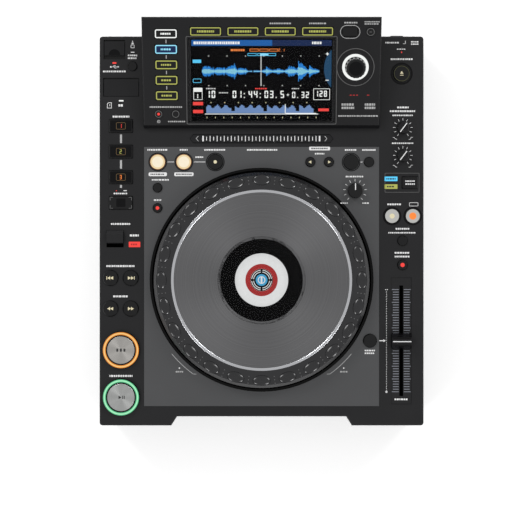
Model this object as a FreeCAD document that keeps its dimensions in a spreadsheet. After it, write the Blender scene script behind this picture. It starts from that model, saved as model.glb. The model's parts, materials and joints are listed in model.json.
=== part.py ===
import FreeCAD, Part
import os
import re
import Sketcher

# Tabletop disc player for mixing, in millimetres.
# Frame: +X to the user's right, +Y to the rear, +Z up. The origin is on the table,
# under the middle of the outline. Places along the depth are given from the front edge,
# places on the raised display head from its front edge along the sloping face.

SIZES = {
    # overall form
    "strip_width": 42.65,
    "front_margin": 32.5,
    "jog_to_head": 37.7,
    "head_overhang": 14.4,
    "deck_height": 76.0,
    "deck_skin": 3.0,
    "case_wall": 2.0,
    "corner_radius": 3.0,
    "edge_radius": 1.5,
    "slot_recess_depth": 8.7,
    "slot_recess_width": 162.0,
    "slot_recess_flare": 5.5,
    # bottom tray and feet
    "foot_height": 8.0,
    "foot_radius": 13.0,
    "foot_inset": 28.0,
    "foot_bore": 4.0,
    "tray_floor": 2.0,
    "tray_rim_height": 6.0,
    "tray_rim_wall": 2.0,
    "tray_clearance": 0.3,
    "boss_radius": 4.0,
    # deck plate
    "plate_margin": 5.4,
    "plate_front": 18.6,
    "plate_to_head": 17.6,
    "plate_thickness": 1.2,
    "plate_bed": 1.5,
    "plate_gap": 0.15,
    # jog wheel assembly
    "wheel_clearance": 2.3,
    "well_wall": 2.0,
    "well_rim": 0.8,
    "well_flange": 3.5,
    "well_depth": 24.0,
    "well_floor_thickness": 3.0,
    "post_radius": 16.0,
    "post_foot_radius": 22.0,
    "dial_gap": 3.1,
    "running_fit": 0.06,
    "gap": 0.3,
    "wheel_radius": 102.6,
    "wheel_rise": 12.0,
    "wheel_wall": 3.0,
    "wheel_skirt": 3.0,
    "web_clearance": 3.4,
    "wheel_web_thickness": 3.0,
    "hub_radius": 21.0,
    "hub_clearance": 1.5,
    "hub_rise": 9.0,
    "rim_width": 18.1,
    "rim_ledge_width": 5.0,
    "rim_ledge_thickness": 2.0,
    "dimple_inset": 7.3,
    "dimple_half_length": 8.5,
    "dimple_half_width": 5.2,
    "dimple_depth": 2.2,
    "dimple_count": 24,
    "jog_plate_drop": 0.8,
    "jog_plate_thickness": 2.0,
    "jog_plate_skirt": 2.0,
    "jog_press": 0.4,
    "window_radius": 41.7,
    "window_thickness": 1.6,
    "window_seat": 2.4,
    "dial_radius": 25.4,
    "dial_thickness": 1.5,
    "tooth_module": 1.6,
    "gear_teeth": 72,
    "gear_rim_wall": 4.0,
    "pinion_teeth": 12,
    "pinion_stud": 2.0,
    "pinion_height": 3.6,
    "pinion_bearing": 180.0,
    "backlash": 0.5,
    # round push buttons, knobs and their holes
    "button_gap": 0.3,
    "button_flange": 1.0,
    "button_flange_thickness": 1.5,
    "button_rise": 1.3,
    "button_edge": 0.5,
    "big_button_rise": 2.6,
    "big_button_groove": 0.8,
    "big_button_groove_radius": 14.2,
    "big_button_disc_radius": 13.5,
    "big_button_dish": 0.5,
    "knob_rise": 7.0,
    "knob_stem": 3.0,
    "knob_foot": 6.0,
    "knob_mark_width": 1.2,
    "speed_knob_turn": -37.0,
    "adjust_knob_turn": 0.0,
    # oblong keys on the side strips
    "pad_width": 22.4,
    "pad_length": 12.5,
    "pad_inset": 20.65,
    "pad_first": 2.3,
    "pad_pitch": 24.5,
    "mode_key_inset": 13.15,
    "mode_key_from_head": -51.9,
    "mode_key_width": 15.3,
    "mode_key_length": 11.5,
    "key_corner": 1.2,
    # direction lever
    "lever_inset": 15.0,
    "lever_from_front": 178.9,
    "lever_slot_length": 16.4,
    "lever_slot_width": 16.5,
    "lever_length": 12.0,
    "lever_waist": 6.0,
    "lever_gap": 0.3,
    "lever_axis_depth": 8.0,
    "lever_rise": 4.0,
    "lever_lean": 12.5,
    "lever_pin": 1.5,
    "lever_ear": 3.0,
    "lever_ear_length": 9.0,
    # tempo fader
    "fader_inset": 21.45,
    "fader_front": 28.2,
    "fader_slot_width": 3.6,
    "fader_slot_length": 106.0,
    "fader_panel_width": 19.7,
    "fader_panel_margin": 7.75,
    "fader_panel_depth": 0.6,
    "fader_cap_width": 18.5,
    "fader_cap_length": 15.0,
    "fader_cap_height": 9.0,
    "fader_cap_top": 8.0,
    "fader_cap_groove": 1.6,
    "fader_stem_width": 2.6,
    "fader_stem_length": 6.0,
    "fader_stem_depth": 7.0,
    "fader_unit_width": 13.0,
    "fader_unit_margin": 11.0,
    "fader_unit_height": 11.0,
    "fader_unit_wall": 1.5,
    # doors over the media sockets
    "usb_inset": 14.35,
    "usb_width": 19.2,
    "usb_from_head": 69.8,
    "usb_length": 13.5,
    "usb_scoop": 3.6,
    "card_inset": 20.85,
    "card_width": 33.0,
    "card_from_head": 30.9,
    "card_length": 16.1,
    "card_slot_width": 25.0,
    "card_slot_height": 2.6,
    "door_gap": 0.7,
    "door_front_gap": 0.4,
    "door_rear_gap": 1.4,
    "door_thickness": 1.4,
    "hinge_radius": 1.2,
    "hinge_drop": 1.4,
    "hinge_pin": 0.7,
    "hinge_pin_length": 1.8,
    "media_height": 17.0,
    "media_margin": 1.6,
    "media_step": 4.4,
    "usb_socket_width": 13.0,
    "usb_socket_length": 5.6,
    "usb_socket_depth": 14.0,
    "usb_tongue_thickness": 1.6,
    "socket_mouth": 5.0,
    # display head
    "head_lead": 2.6,
    "head_run": 100.0,
    "head_front_rise": 6.5,
    "head_tilt": 14.57,
    "head_skin": 2.5,
    "head_rear_drop": 12.0,
    "head_opening_margin": 6.5,
    "head_edge": 1.5,
    "glass_width": 139.0,
    "glass_front": 2.9,
    "glass_from_edge": 20.4,
    "glass_thickness": 1.4,
    "glass_gap": 0.15,
    "lcd_margin": 2.0,
    "lcd_width": 133.6,
    "lcd_depth": 4.5,
    "source_x": -89.8,
    "source_first": 28.7,
    "source_from_edge": 16.0,
    "source_width": 21.1,
    "source_length": 8.8,
    "mode_first_x": -97.9,
    "mode_second_x": -81.6,
    "mode_along": 10.95,
    "mode_radius": 3.8,
    "menu_first_x": -52.5,
    "menu_pitch": 35.0,
    "menu_width": 29.4,
    "menu_length": 8.0,
    "menu_from_edge": 13.8,
    "back_x": 83.1,
    "back_width": 14.4,
    "back_length": 8.6,
    "tag_x": 102.3,
    "tag_radius": 4.2,
    "upper_keys_from_edge": 14.3,
    "carrier_thickness": 1.5,
    "carrier_margin": 1.5,
    "head_key_rise": 1.0,
    "selector_x": 88.6,
    "selector_along": 55.6,
    "selector_dish_radius": 18.0,
    "selector_dish_depth": 0.8,
    "selector_radius": 9.7,
    "selector_rise": 9.5,
    "selector_stem": 3.0,
    "selector_foot": 5.0,
    "selector_flute": 1.1,
    "selector_flutes": 16,
    "selector_press": 0.8,
    # needle strip between the deck plate and the head
    "needle_half_length": 68.8,
    "needle_half_flat": 65.2,
    "needle_to_head": 9.8,
    "needle_length": 8.3,
    "needle_thickness": 1.8,
    "needle_bed": 1.0,
    # disc drive
    "slot_width": 126.0,
    "slot_rise": 10.0,
    "slot_height": 6.0,
    "drive_side": 10.0,
    "drive_front_gap": 1.3,
    "drive_length": 140.0,
    "drive_leg": 7.0,
    "drive_clearance": 6.0,
    "drive_floor": 3.0,
    "drive_wall": 2.0,
    "spindle_from_front": 77.0,
    "turntable_radius": 15.0,
    "turntable_thickness": 2.5,
    "cone_radius": 7.3,
    "cone_height": 1.4,
    "spindle_shaft": 2.5,
    "spindle_boss": 8.0,
    "rail_x": 22.0,
    "rail_radius": 1.5,
    "rail_rise": 6.6,
    "rail_end": 6.0,
    "pickup_start": 5.0,
    "pickup_length": 16.0,
    "pickup_side": 5.0,
    "pickup_height": 5.0,
    "lens_radius": 3.0,
    "lens_rise": 1.2,
    # circuit boards on bosses
    "board_leg": 10.0,
    "board_thickness": 1.6,
    "main_board_x": -35.0,
    "main_board_width": 150.0,
    "main_board_from_rear": 32.8,
    "main_board_length": 172.0,
    "chip_width": 34.0,
    "chip_height": 4.0,
    "supply_x": 98.0,
    "supply_width": 84.0,
    "supply_from_rear": 50.8,
    "supply_length": 126.0,
    "transformer_width": 34.0,
    "transformer_height": 26.0,
    "capacitor_radius": 9.0,
    "capacitor_height": 24.0,
    # rear panel and its sockets
    "panel_thickness": 1.5,
    "panel_gap": 0.2,
    "socket_rise": 34.0,
    "inlet_x": 96.0,
    "inlet_width": 27.0,
    "inlet_height": 20.0,
    "inlet_depth": 22.0,
    "inlet_wall": 1.8,
    "inlet_pin_width": 2.4,
    "inlet_pin_spacing": 9.0,
    "network_x": 22.0,
    "network_width": 16.0,
    "network_height": 13.5,
    "network_wall": 1.8,
    "square_x": -6.0,
    "square_width": 12.0,
    "square_height": 11.0,
    "square_wall": 1.6,
    "data_depth": 18.0,
    "square_tongue": 3.0,
    "jack_radius": 4.15,
    "jack_bore": 1.7,
    "jack_reach": 9.0,
    "jack_collar_radius": 5.4,
    "jack_collar_rise": 0.8,
    "jack_base": 12.0,
    "jack_first_x": -112.0,
    "jack_pitch": 17.0,
    "control_radius": 3.4,
    "control_bore": 1.8,
    "control_reach": 1.2,
    "hole_gap": 0.3,
    "power_x": 132.0,
    "power_width": 12.0,
    "power_height": 9.0,
    "power_reach": 4.0,
    "power_travel": 3.0,
}

# Round controls. Those on the side strips are placed by their inset from the case's outer side, those on the
# deck plate by their inset from the plate's side. Along the deck a control is placed from the front edge,
# from the head's foot (behind it is positive) or from the rear end of the fader's slot.
# Each row holds the side, what the inset counts from, the inset, what the depth counts from, the depth
# and the cap radius.
ROUND_BUTTONS = {
    "loop_in_button": ("left", "plate", 13.2, "head", -32.1, 7.4),
    "loop_out_button": ("left", "plate", 38.2, "head", -32.1, 7.4),
    "reloop_button": ("left", "plate", 68.3, "head", -32.1, 7.4),
    "loop_mode_button": ("left", "plate", 13.0, "head", -56.8, 4.4),
    "slip_button": ("left", "plate", 13.0, "head", -76.2, 4.4),
    "delete_button": ("right", "plate", 26.9, "head", -32.2, 7.3),
    "memory_button": ("right", "plate", 9.7, "head", -32.2, 4.7),
    "reset_button": ("right", "plate", 8.8, "front", 81.3, 6.4),
    "usb_stop_button": ("left", "case", 31.75, "head", 59.5, 4.4),
    "track_back_button": ("left", "case", 10.65, "front", 141.4, 7.4),
    "track_next_button": ("left", "case", 30.05, "front", 141.4, 7.4),
    "search_back_button": ("left", "case", 10.65, "front", 112.1, 7.4),
    "search_next_button": ("left", "case", 30.05, "front", 112.1, 7.4),
    "eject_button": ("right", "case", 21.15, "head", 52.5, 8.2),
    "sync_button": ("right", "case", 30.35, "head", -83.9, 7.3),
    "master_button": ("right", "case", 10.55, "head", -83.9, 7.3),
    "range_button": ("right", "case", 20.35, "fader", 42.9, 4.8),
    "tempo_hold_button": ("right", "case", 20.35, "fader", 19.7, 4.8),
}
CALL_KEYS = {
    "call_back": ("right", "plate", 65.9, "head", -32.2, 4.6),
    "call_next": ("right", "plate", 48.1, "head", -32.2, 4.6),
}
BIG_BUTTONS = {
    "cue_button": ("left", "case", 20.75, "front", 72.5, 17.5),
    "play_button": ("left", "case", 20.85, "front", 27.3, 17.5),
}
KNOBS = {
    "brake_knob": ("right", "case", 19.95, "head", 0.5, 5.8),
    "release_knob": ("right", "case", 19.95, "head", -26.2, 5.8),
    "jog_adjust_knob": ("right", "plate", 23.1, "head", -59.7, 7.5),
}

# Sizes that follow from the ones above, as expressions over the sheet.
DERIVED = {
    "well_radius": "(wheel_radius + wheel_clearance + well_wall + gap)",
    "plate_width": "(2 * (well_radius + plate_margin))",
    "head_width": "plate_width",
    "deck_width": "(plate_width + 2 * strip_width)",
    "jog_from_front": "(front_margin + well_radius)",
    "head_foot_front": "(front_margin + 2 * well_radius + jog_to_head)",
    "head_face_front": "(head_foot_front + head_lead)",
    "total_depth": "(head_face_front + head_run)",
    "plate_rear": "(head_foot_front - plate_to_head)",
    "slot_recess_mouth": "(slot_recess_width + 2 * slot_recess_flare)",
    "case_bottom": "(foot_height + tray_floor)",
    "under_skin": "(deck_height - deck_skin)",
    "rear": "(total_depth / 2 - head_overhang)",
    "panel_front": "(rear - panel_thickness)",
    "plate_level": "(deck_height - plate_bed + plate_thickness)",
    "gear_radius": "(tooth_module * gear_teeth / 2)",
    "pinion_radius": "(tooth_module * pinion_teeth / 2)",
    "wheel_top": "(deck_height + wheel_rise)",
    "plate_top": "(wheel_top - jog_plate_drop)",
    "well_floor": "(deck_height - well_depth)",
    "well_floor_top": "(well_floor + well_floor_thickness)",
    "wheel_web": "(well_floor_top + pinion_height + web_clearance)",
    "wheel_bottom": "(wheel_web - wheel_skirt)",
    "hub_bottom": "(well_floor_top + hub_clearance)",
    "hub_top": "(wheel_web + hub_rise)",
    "post_top": "(plate_top - window_thickness - dial_gap - dial_thickness)",
    "rim_inner_radius": "(wheel_radius - rim_width)",
    "dimple_ring_radius": "(wheel_radius - dimple_inset)",
    "pad_x": "(pad_inset - deck_width / 2)",
    "mode_key_x": "(deck_width / 2 - mode_key_inset)",
    "mode_key_from_front": "(head_foot_front + mode_key_from_head)",
    "lever_x": "(lever_inset - deck_width / 2)",
    "fader_x": "(deck_width / 2 - fader_inset)",
    "fader_rear": "(fader_front + fader_slot_length)",
    "fader_from_front": "(fader_front + fader_slot_length / 2)",
    "fader_panel_length": "(fader_slot_length + 2 * fader_panel_margin)",
    "fader_unit_length": "(fader_slot_length + 2 * fader_unit_margin)",
    "usb_x": "(usb_inset - deck_width / 2)",
    "usb_front": "(head_foot_front + usb_from_head)",
    "usb_rear": "(usb_front + usb_length)",
    "card_x": "(card_inset - deck_width / 2)",
    "card_front": "(head_foot_front + card_from_head)",
    "card_rear": "(card_front + card_length)",
    "head_front_height": "(deck_height + head_front_rise)",
    "head_length": "(head_run / cos(head_tilt))",
    "head_opening_front": "(head_foot_front + head_opening_margin / 2)",
    "head_opening_rear": "(total_depth - head_overhang - head_opening_margin)",
    "glass_rear": "(head_length - glass_from_edge)",
    "source_pitch": "((head_length - source_from_edge - source_first) / 4)",
    "menu_along": "(head_length - menu_from_edge)",
    "upper_keys_along": "(head_length - upper_keys_from_edge)",
    "needle_from_front": "(head_foot_front - needle_to_head)",
    "drive_bottom": "(case_bottom + drive_leg)",
    "slot_bottom": "(drive_bottom + slot_rise)",
    "disc_height": "(slot_bottom + slot_height / 2)",
    "drive_top": "(well_floor - drive_clearance)",
    "drive_width": "(slot_width + 2 * drive_side)",
    "drive_front": "(slot_recess_depth + case_wall + drive_front_gap)",
    "drive_rear": "(drive_front + drive_length)",
    "rail_height": "(drive_bottom + rail_rise)",
    "rail_rear": "(drive_rear - rail_end)",
    "pickup_front": "(spindle_from_front + turntable_radius + pickup_start)",
    "pickup_width": "(2 * (rail_x + pickup_side))",
    "board_height": "(case_bottom + board_leg)",
    "main_board_rear": "(total_depth - head_overhang - main_board_from_rear)",
    "main_board_front": "(main_board_rear - main_board_length)",
    "supply_rear": "(total_depth - head_overhang - supply_from_rear)",
    "supply_front": "(supply_rear - supply_length)",
    "socket_height": "(case_bottom + socket_rise)",
}
EDGES = {"case": "deck_width / 2", "plate": "plate_width / 2"}
STARTS = {"front": "0", "head": "head_foot_front", "fader": "fader_rear"}

for table in (ROUND_BUTTONS, CALL_KEYS, BIG_BUTTONS, KNOBS):
    for control, (side, edge, inset, start, distance, radius) in table.items():
        sign = "-" if side == "left" else ""
        SIZES[control + "_inset"] = inset
        SIZES[control + "_distance"] = distance
        SIZES[control + "_radius"] = radius
        DERIVED[control + "_x"] = f"({sign}({EDGES[edge]} - {control}_inset))"
        DERIVED[control + "_from_front"] = f"({STARTS[start]} + {control}_distance)"
for number, pad in enumerate(("pad_1", "pad_2", "pad_3", "pad_record")):
    DERIVED[pad] = f"(head_foot_front + pad_first - {number} * pad_pitch)"

X_AXIS = FreeCAD.Vector(1, 0, 0)
Z_AXIS = FreeCAD.Vector(0, 0, 1)

document = FreeCAD.newDocument("DiscPlayer")
sheet = document.addObject("Spreadsheet::Sheet", "Sizes")
for row, (name, number) in enumerate(SIZES.items(), start=1):
    sheet.set(f"A{row}", name)
    sheet.set(f"B{row}", str(number))
    sheet.setAlias(f"B{row}", name)
document.recompute()

def depth(name):
    """Place along Y of a distance from the front edge."""
    return f"({name} - total_depth / 2)"


def spelled_out(word):
    """A word of an expression: a derived size in brackets, a cell of the sheet, or a function's name."""
    name = word.group()
    if name in DERIVED:
        return named(DERIVED[name])
    return "Sizes." + name if name in SIZES else name


def named(text):
    return re.sub(r"[a-z_][a-z_0-9]*", spelled_out, str(text))


def value(text):
    return float(sheet.evalExpression(named(text)))


def bind(item, path, text):
    item.setExpression(path, named(text))


def place(item, x="0", y="0", z="0", about=None, angle="0"):
    """Bind a piece's place and, if it is turned, its angle about one axis."""
    if about is not None:
        item.Placement = FreeCAD.Placement(FreeCAD.Vector(), FreeCAD.Rotation(about, 1))
        bind(item, "Placement.Rotation.Angle", angle)
    bind(item, "Placement.Base.x", x)
    bind(item, "Placement.Base.y", y)
    bind(item, "Placement.Base.z", z)


def place_on_head(item, x="0", along="0", up="0"):
    """Place a piece in the frame of the head's sloping face."""
    place(item, x,
          f"{depth('head_face_front')} + ({along}) * cos(head_tilt) - ({up}) * sin(head_tilt)",
          f"head_front_height + ({along}) * sin(head_tilt) + ({up}) * cos(head_tilt)",
          X_AXIS, "head_tilt")


# Sketch and feature helpers

def rectangle(x, y, width, length):
    left = f"{x} - ({width}) / 2"
    right = f"{x} + ({width}) / 2"
    front = f"{y} - ({length}) / 2"
    back = f"{y} + ({length}) / 2"
    return [(left, front), (right, front), (right, back), (left, back)]


def span(left, front, right, back):
    return [(left, front), (right, front), (right, back), (left, back)]


def circle(x, y, radius):
    return ("circle", x, y, radius)


def new_body(label):
    body = document.addObject("PartDesign::Body", label)
    body.Label = label
    return body


def draw(body, plane, loops, lift="0"):
    """A sketch on one of the body's own planes; every corner is bound to the sheet."""
    drawing = body.newObject("Sketcher::SketchObject", body.Label + "_sketch")
    origin_plane = next(item for item in body.Origin.OriginFeatures if item.Role == plane)
    drawing.AttachmentSupport = [(origin_plane, "")]
    drawing.MapMode = "FlatFace"
    bind(drawing, "AttachmentOffset.Base.z", lift)
    for loop in loops:
        if loop[0] == "circle":
            draw_circle(drawing, *loop[1:])
        else:
            draw_polygon(drawing, loop)
    return drawing


def fix_point(drawing, geometry, point, x, y):
    for kind, text in (("DistanceX", x), ("DistanceY", y)):
        index = drawing.addConstraint(Sketcher.Constraint(kind, -1, 1, geometry, point, value(text)))
        bind(drawing, f"Constraints[{index}]", text)


def draw_circle(drawing, x, y, radius):
    centre = FreeCAD.Vector(value(x), value(y), 0)
    geometry = drawing.addGeometry(Part.Circle(centre, Z_AXIS, value(radius)), False)
    fix_point(drawing, geometry, 3, x, y)
    index = drawing.addConstraint(Sketcher.Constraint("Radius", geometry, value(radius)))
    bind(drawing, f"Constraints[{index}]", radius)


def draw_polygon(drawing, points):
    corners = [FreeCAD.Vector(value(x), value(y), 0) for x, y in points]
    lines = []
    for start, end in zip(corners, corners[1:] + corners[:1]):
        lines.append(drawing.addGeometry(Part.LineSegment(start, end), False))
    for line, following in zip(lines, lines[1:] + lines[:1]):
        drawing.addConstraint(Sketcher.Constraint("Coincident", line, 2, following, 1))
    for line, (x, y) in zip(lines, points):
        fix_point(drawing, line, 1, x, y)


def pad(body, drawing, length, reverse=False):
    feature = body.newObject("PartDesign::Pad", body.Label + "_pad")
    feature.Profile = drawing
    feature.Reversed = reverse
    bind(feature, "Length", length)
    return feature


def pocket(body, drawing, length, reverse=False):
    feature = body.newObject("PartDesign::Pocket", body.Label + "_pocket")
    feature.Profile = drawing
    feature.Reversed = reverse
    bind(feature, "Length", length)
    return feature


def block(body, loop, bottom, top):
    """Pad a loop drawn in plan between two heights."""
    return pad(body, draw(body, "XY_Plane", [loop], bottom), f"({top}) - ({bottom})")


def sink(body, loops, bottom, top):
    """Pocket loops drawn in plan between two heights."""
    return pocket(body, draw(body, "XY_Plane", loops, top), f"({top}) - ({bottom})")


def revolve(body, points, groove=False):
    kind = "PartDesign::Groove" if groove else "PartDesign::Revolution"
    feature = body.newObject(kind, body.Label + "_turned")
    drawing = draw(body, "XZ_Plane", [points])
    feature.Profile = drawing
    feature.ReferenceAxis = (drawing, ["V_Axis"])
    feature.Angle = 360
    return drawing


def repeat_round(body, feature, drawing, count):
    pattern = body.newObject("PartDesign::PolarPattern", body.Label + "_ring")
    pattern.Originals = [feature]
    pattern.Axis = (drawing, ["V_Axis"])
    pattern.Angle = 360
    bind(pattern, "Occurrences", count)
    body.Tip = pattern
    return pattern


def round_edges(body, kind, radius, chosen):
    """Fillet or chamfer the edges of the body's last feature that pass a test."""
    document.recompute()
    base = body.Tip
    names = [f"Edge{number}" for number, edge in enumerate(base.Shape.Edges, start=1) if chosen(edge)]
    feature = body.newObject("PartDesign::" + kind, body.Label + "_edges")
    feature.Base = (base, names)
    bind(feature, "Radius" if kind == "Fillet" else "Size", radius)
    return feature


def is_upright(edge):
    box = edge.BoundBox
    return box.XLength < 1e-6 and box.YLength < 1e-6


def lies_at(edge, height):
    box = edge.BoundBox
    return abs(box.ZMin - height) < 1e-6 and abs(box.ZMax - height) < 1e-6


# Primitive helpers for the simple inner pieces

def box(name, x, y, z, width, length, height):
    """A block from its middle across, its front and its bottom."""
    item = document.addObject("Part::Box", name)
    bind(item, "Length", width)
    bind(item, "Width", length)
    bind(item, "Height", height)
    place(item, f"{x} - ({width}) / 2", y, z)
    return item


def cylinder(name, x, y, z, radius, height, backwards=False):
    """A round bar from the middle of its foot, upright or pointing to the rear."""
    item = document.addObject("Part::Cylinder", name)
    bind(item, "Radius", radius)
    bind(item, "Height", height)
    if backwards:
        place(item, x, y, z, X_AXIS, "-90")
    else:
        place(item, x, y, z)
    return item


def fuse(name, items):
    item = document.addObject("Part::MultiFuse", name)
    item.Shapes = items
    item.Refine = True
    return item


def cut(name, base, tools):
    item = document.addObject("Part::Cut", name)
    item.Base = base
    item.Tool = tools[0] if len(tools) == 1 else fuse(name + "_tools", tools)
    return item


def group(label, items):
    item = document.addObject("Part::Compound", label)
    item.Label = label
    item.Links = items
    return item


# Case

def case_outline(inset, rear):
    """Plan of the case with the shallow bay for the disc slot in its front."""
    half = f"deck_width / 2 - {inset}"
    front = f"-total_depth / 2 + {inset}"
    bay = f"-total_depth / 2 + slot_recess_depth + {inset}"
    mouth = f"slot_recess_mouth / 2 + {inset}"
    bay_half = f"slot_recess_width / 2 + {inset}"
    return [(f"-({half})", front), (f"-({mouth})", front), (f"-({bay_half})", bay), (bay_half, bay),
            (mouth, front), (half, front), (half, rear), (f"-({half})", rear)]


def round_holes():
    """Every round hole through the deck: controls and knob stems."""
    holes = [circle("0", depth("jog_from_front"), "well_radius")]
    for table in (ROUND_BUTTONS, CALL_KEYS, BIG_BUTTONS):
        for control in table:
            holes.append(circle(f"{control}_x", depth(f"{control}_from_front"), f"{control}_radius + button_gap"))
    for control in KNOBS:
        holes.append(circle(f"{control}_x", depth(f"{control}_from_front"), "knob_stem + button_gap"))
    return holes


def is_on_plate(hole):
    return abs(value(hole[1])) < value("plate_width / 2")


def make_top_case():
    body = new_body("top_case")
    block(body, case_outline("0", "rear"), "case_bottom", "deck_height")
    round_edges(body, "Fillet", "corner_radius",
                lambda edge: is_upright(edge) and abs(edge.BoundBox.XMin) > value("deck_width / 2 - 1"))
    round_edges(body, "Fillet", "edge_radius", lambda edge: lies_at(edge, value("deck_height")))
    sink(body, [case_outline("case_wall", "rear + case_wall")], "case_bottom", "under_skin")
    sink(body, [span("-plate_width / 2 - plate_gap", f"{depth('plate_front')} - plate_gap",
                     "plate_width / 2 + plate_gap", f"{depth('plate_rear')} + plate_gap")],
         "deck_height - plate_bed", "deck_height")
    sink(body, [rectangle("fader_x", depth("fader_from_front"), "fader_panel_width", "fader_panel_length")],
         "deck_height - fader_panel_depth", "deck_height")
    sink(body, [needle_outline("plate_gap")], "deck_height - needle_bed", "deck_height")
    sink(body, round_holes(), "under_skin", "deck_height")
    openings = [rectangle("pad_x", depth(key), "pad_width + 2 * button_gap", "pad_length + 2 * button_gap")
                for key in ("pad_1", "pad_2", "pad_3", "pad_record")]
    openings.append(rectangle("mode_key_x", depth("mode_key_from_front"), "mode_key_width + 2 * button_gap",
                              "mode_key_length + 2 * button_gap"))
    openings.append(rectangle("lever_x", depth("lever_from_front"), "lever_slot_width", "lever_slot_length"))
    openings.append(rectangle("fader_x", depth("fader_from_front"), "fader_slot_width", "fader_slot_length"))
    openings.append(door_recess("usb", "usb_scoop"))
    openings.append(door_recess("card", "door_front_gap"))
    openings.append(span("-head_width / 2 + 6 * head_edge", depth("head_opening_front"),
                         "head_width / 2 - 6 * head_edge", depth("head_opening_rear")))
    sink(body, openings, "under_skin", "deck_height")
    slot = draw(body, "XZ_Plane", [rectangle("0", "slot_bottom + slot_height / 2", "slot_width", "slot_height")],
                "total_depth / 2")
    pocket(body, slot, "slot_recess_depth + 3 * case_wall")
    for side in (-1, 1):
        ear_x = f"lever_x + {side} * (lever_slot_width + lever_ear) / 2"
        block(body, rectangle(ear_x, depth("lever_from_front"), "lever_ear", "lever_ear_length"),
              "deck_height - lever_axis_depth - lever_ear_length / 2", "under_skin")
    bearing = draw(body, "YZ_Plane", [circle(depth("lever_from_front"), "deck_height - lever_axis_depth",
                                             "lever_pin + running_fit")],
                   "lever_x + lever_slot_width / 2 + lever_ear")
    pocket(body, bearing, "lever_slot_width + 2 * lever_ear")
    for door in ("usb", "card"):
        hinge = draw(body, "YZ_Plane", [circle(hinge_line(door), "deck_height - hinge_drop", "hinge_pin + running_fit")],
                     f"{door}_x + {door}_width / 2 + hinge_pin_length + hinge_pin")
        pocket(body, hinge, f"{door}_width + 2 * hinge_pin_length + 2 * hinge_pin")
    return body


def make_deck_plate():
    body = new_body("deck_plate")
    block(body, span("-plate_width / 2", depth("plate_front"), "plate_width / 2", depth("plate_rear")),
          "deck_height - plate_bed", "plate_level")
    sink(body, [hole for hole in round_holes() if is_on_plate(hole)], "deck_height - plate_bed", "plate_level")
    return body


def make_chassis_tray():
    body = new_body("chassis_tray")
    block(body, case_outline("0", "rear"), "foot_height", "case_bottom")
    rim = "(case_wall + tray_clearance)"
    rear = "panel_front - tray_clearance"
    block(body, case_outline(rim, rear), "case_bottom", "case_bottom + tray_rim_height")
    sink(body, [case_outline(f"({rim} + tray_rim_wall)", f"{rear} - tray_rim_wall")], "case_bottom",
         "case_bottom + tray_rim_height")
    for x, y, top in boss_places():
        pad(body, draw(body, "XY_Plane", [circle(x, y, "boss_radius")], "case_bottom"), f"{top} - case_bottom")
    return body


def boss_places():
    """Middles and tops of the pillars that carry the drive and the two boards."""
    places = []
    for side in (-1, 1):
        for end in ("drive_front + 4 * boss_radius", "drive_rear - 4 * boss_radius"):
            places.append((f"{side} * (drive_width / 2 - 2 * boss_radius)", depth(f"({end})"), "drive_bottom"))
    for board in ("main_board", "supply"):
        for side in (-1, 1):
            for end in (f"{board}_front + 2 * boss_radius", f"{board}_rear - 2 * boss_radius"):
                places.append((f"({board}_x + {side} * ({board}_width / 2 - 2 * boss_radius))", depth(f"({end})"),
                               "board_height"))
    return places


def make_feet():
    feet = []
    for column, side in enumerate((-1, 1)):
        for row, y in enumerate((depth("foot_inset"), "rear - foot_inset")):
            name = f"foot_{column}_{row}"
            x = f"{side} * (deck_width / 2 - foot_inset)"
            whole = cylinder(name, x, y, "0", "foot_radius", "foot_height")
            bore = cylinder(name + "_bore", x, y, "0", "foot_bore", "foot_height / 2")
            feet.append(cut(name + "_bored", whole, [bore]))
    return group("feet", feet)


# Jog wheel

def make_jog_base():
    body = new_body("jog_base")
    outer = "well_radius - gap"
    inner = "well_radius - gap - well_wall"
    floor = "well_floor"
    floor_top = "well_floor + well_floor_thickness"
    revolve(body, [("0", floor), (outer, floor), (outer, "under_skin - well_floor_thickness"),
                   ("well_radius + well_flange", "under_skin - well_floor_thickness"),
                   ("well_radius + well_flange", "under_skin"), (outer, "under_skin"),
                   (outer, "deck_height - well_rim"), (inner, "deck_height - well_rim"), (inner, floor_top),
                   ("post_foot_radius", floor_top), ("post_foot_radius", f"{floor_top} + 1"),
                   ("post_radius", f"{floor_top} + 1"),
                   ("post_radius", "post_top"), ("0", "post_top")])
    stud = draw(body, "XY_Plane", [circle("-(gear_radius + pinion_radius)", "0", "pinion_stud")], floor_top)
    pad(body, stud, "wheel_web - gap - well_floor - well_floor_thickness")
    place(body, "0", depth("jog_from_front"), "0")
    return body


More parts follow.
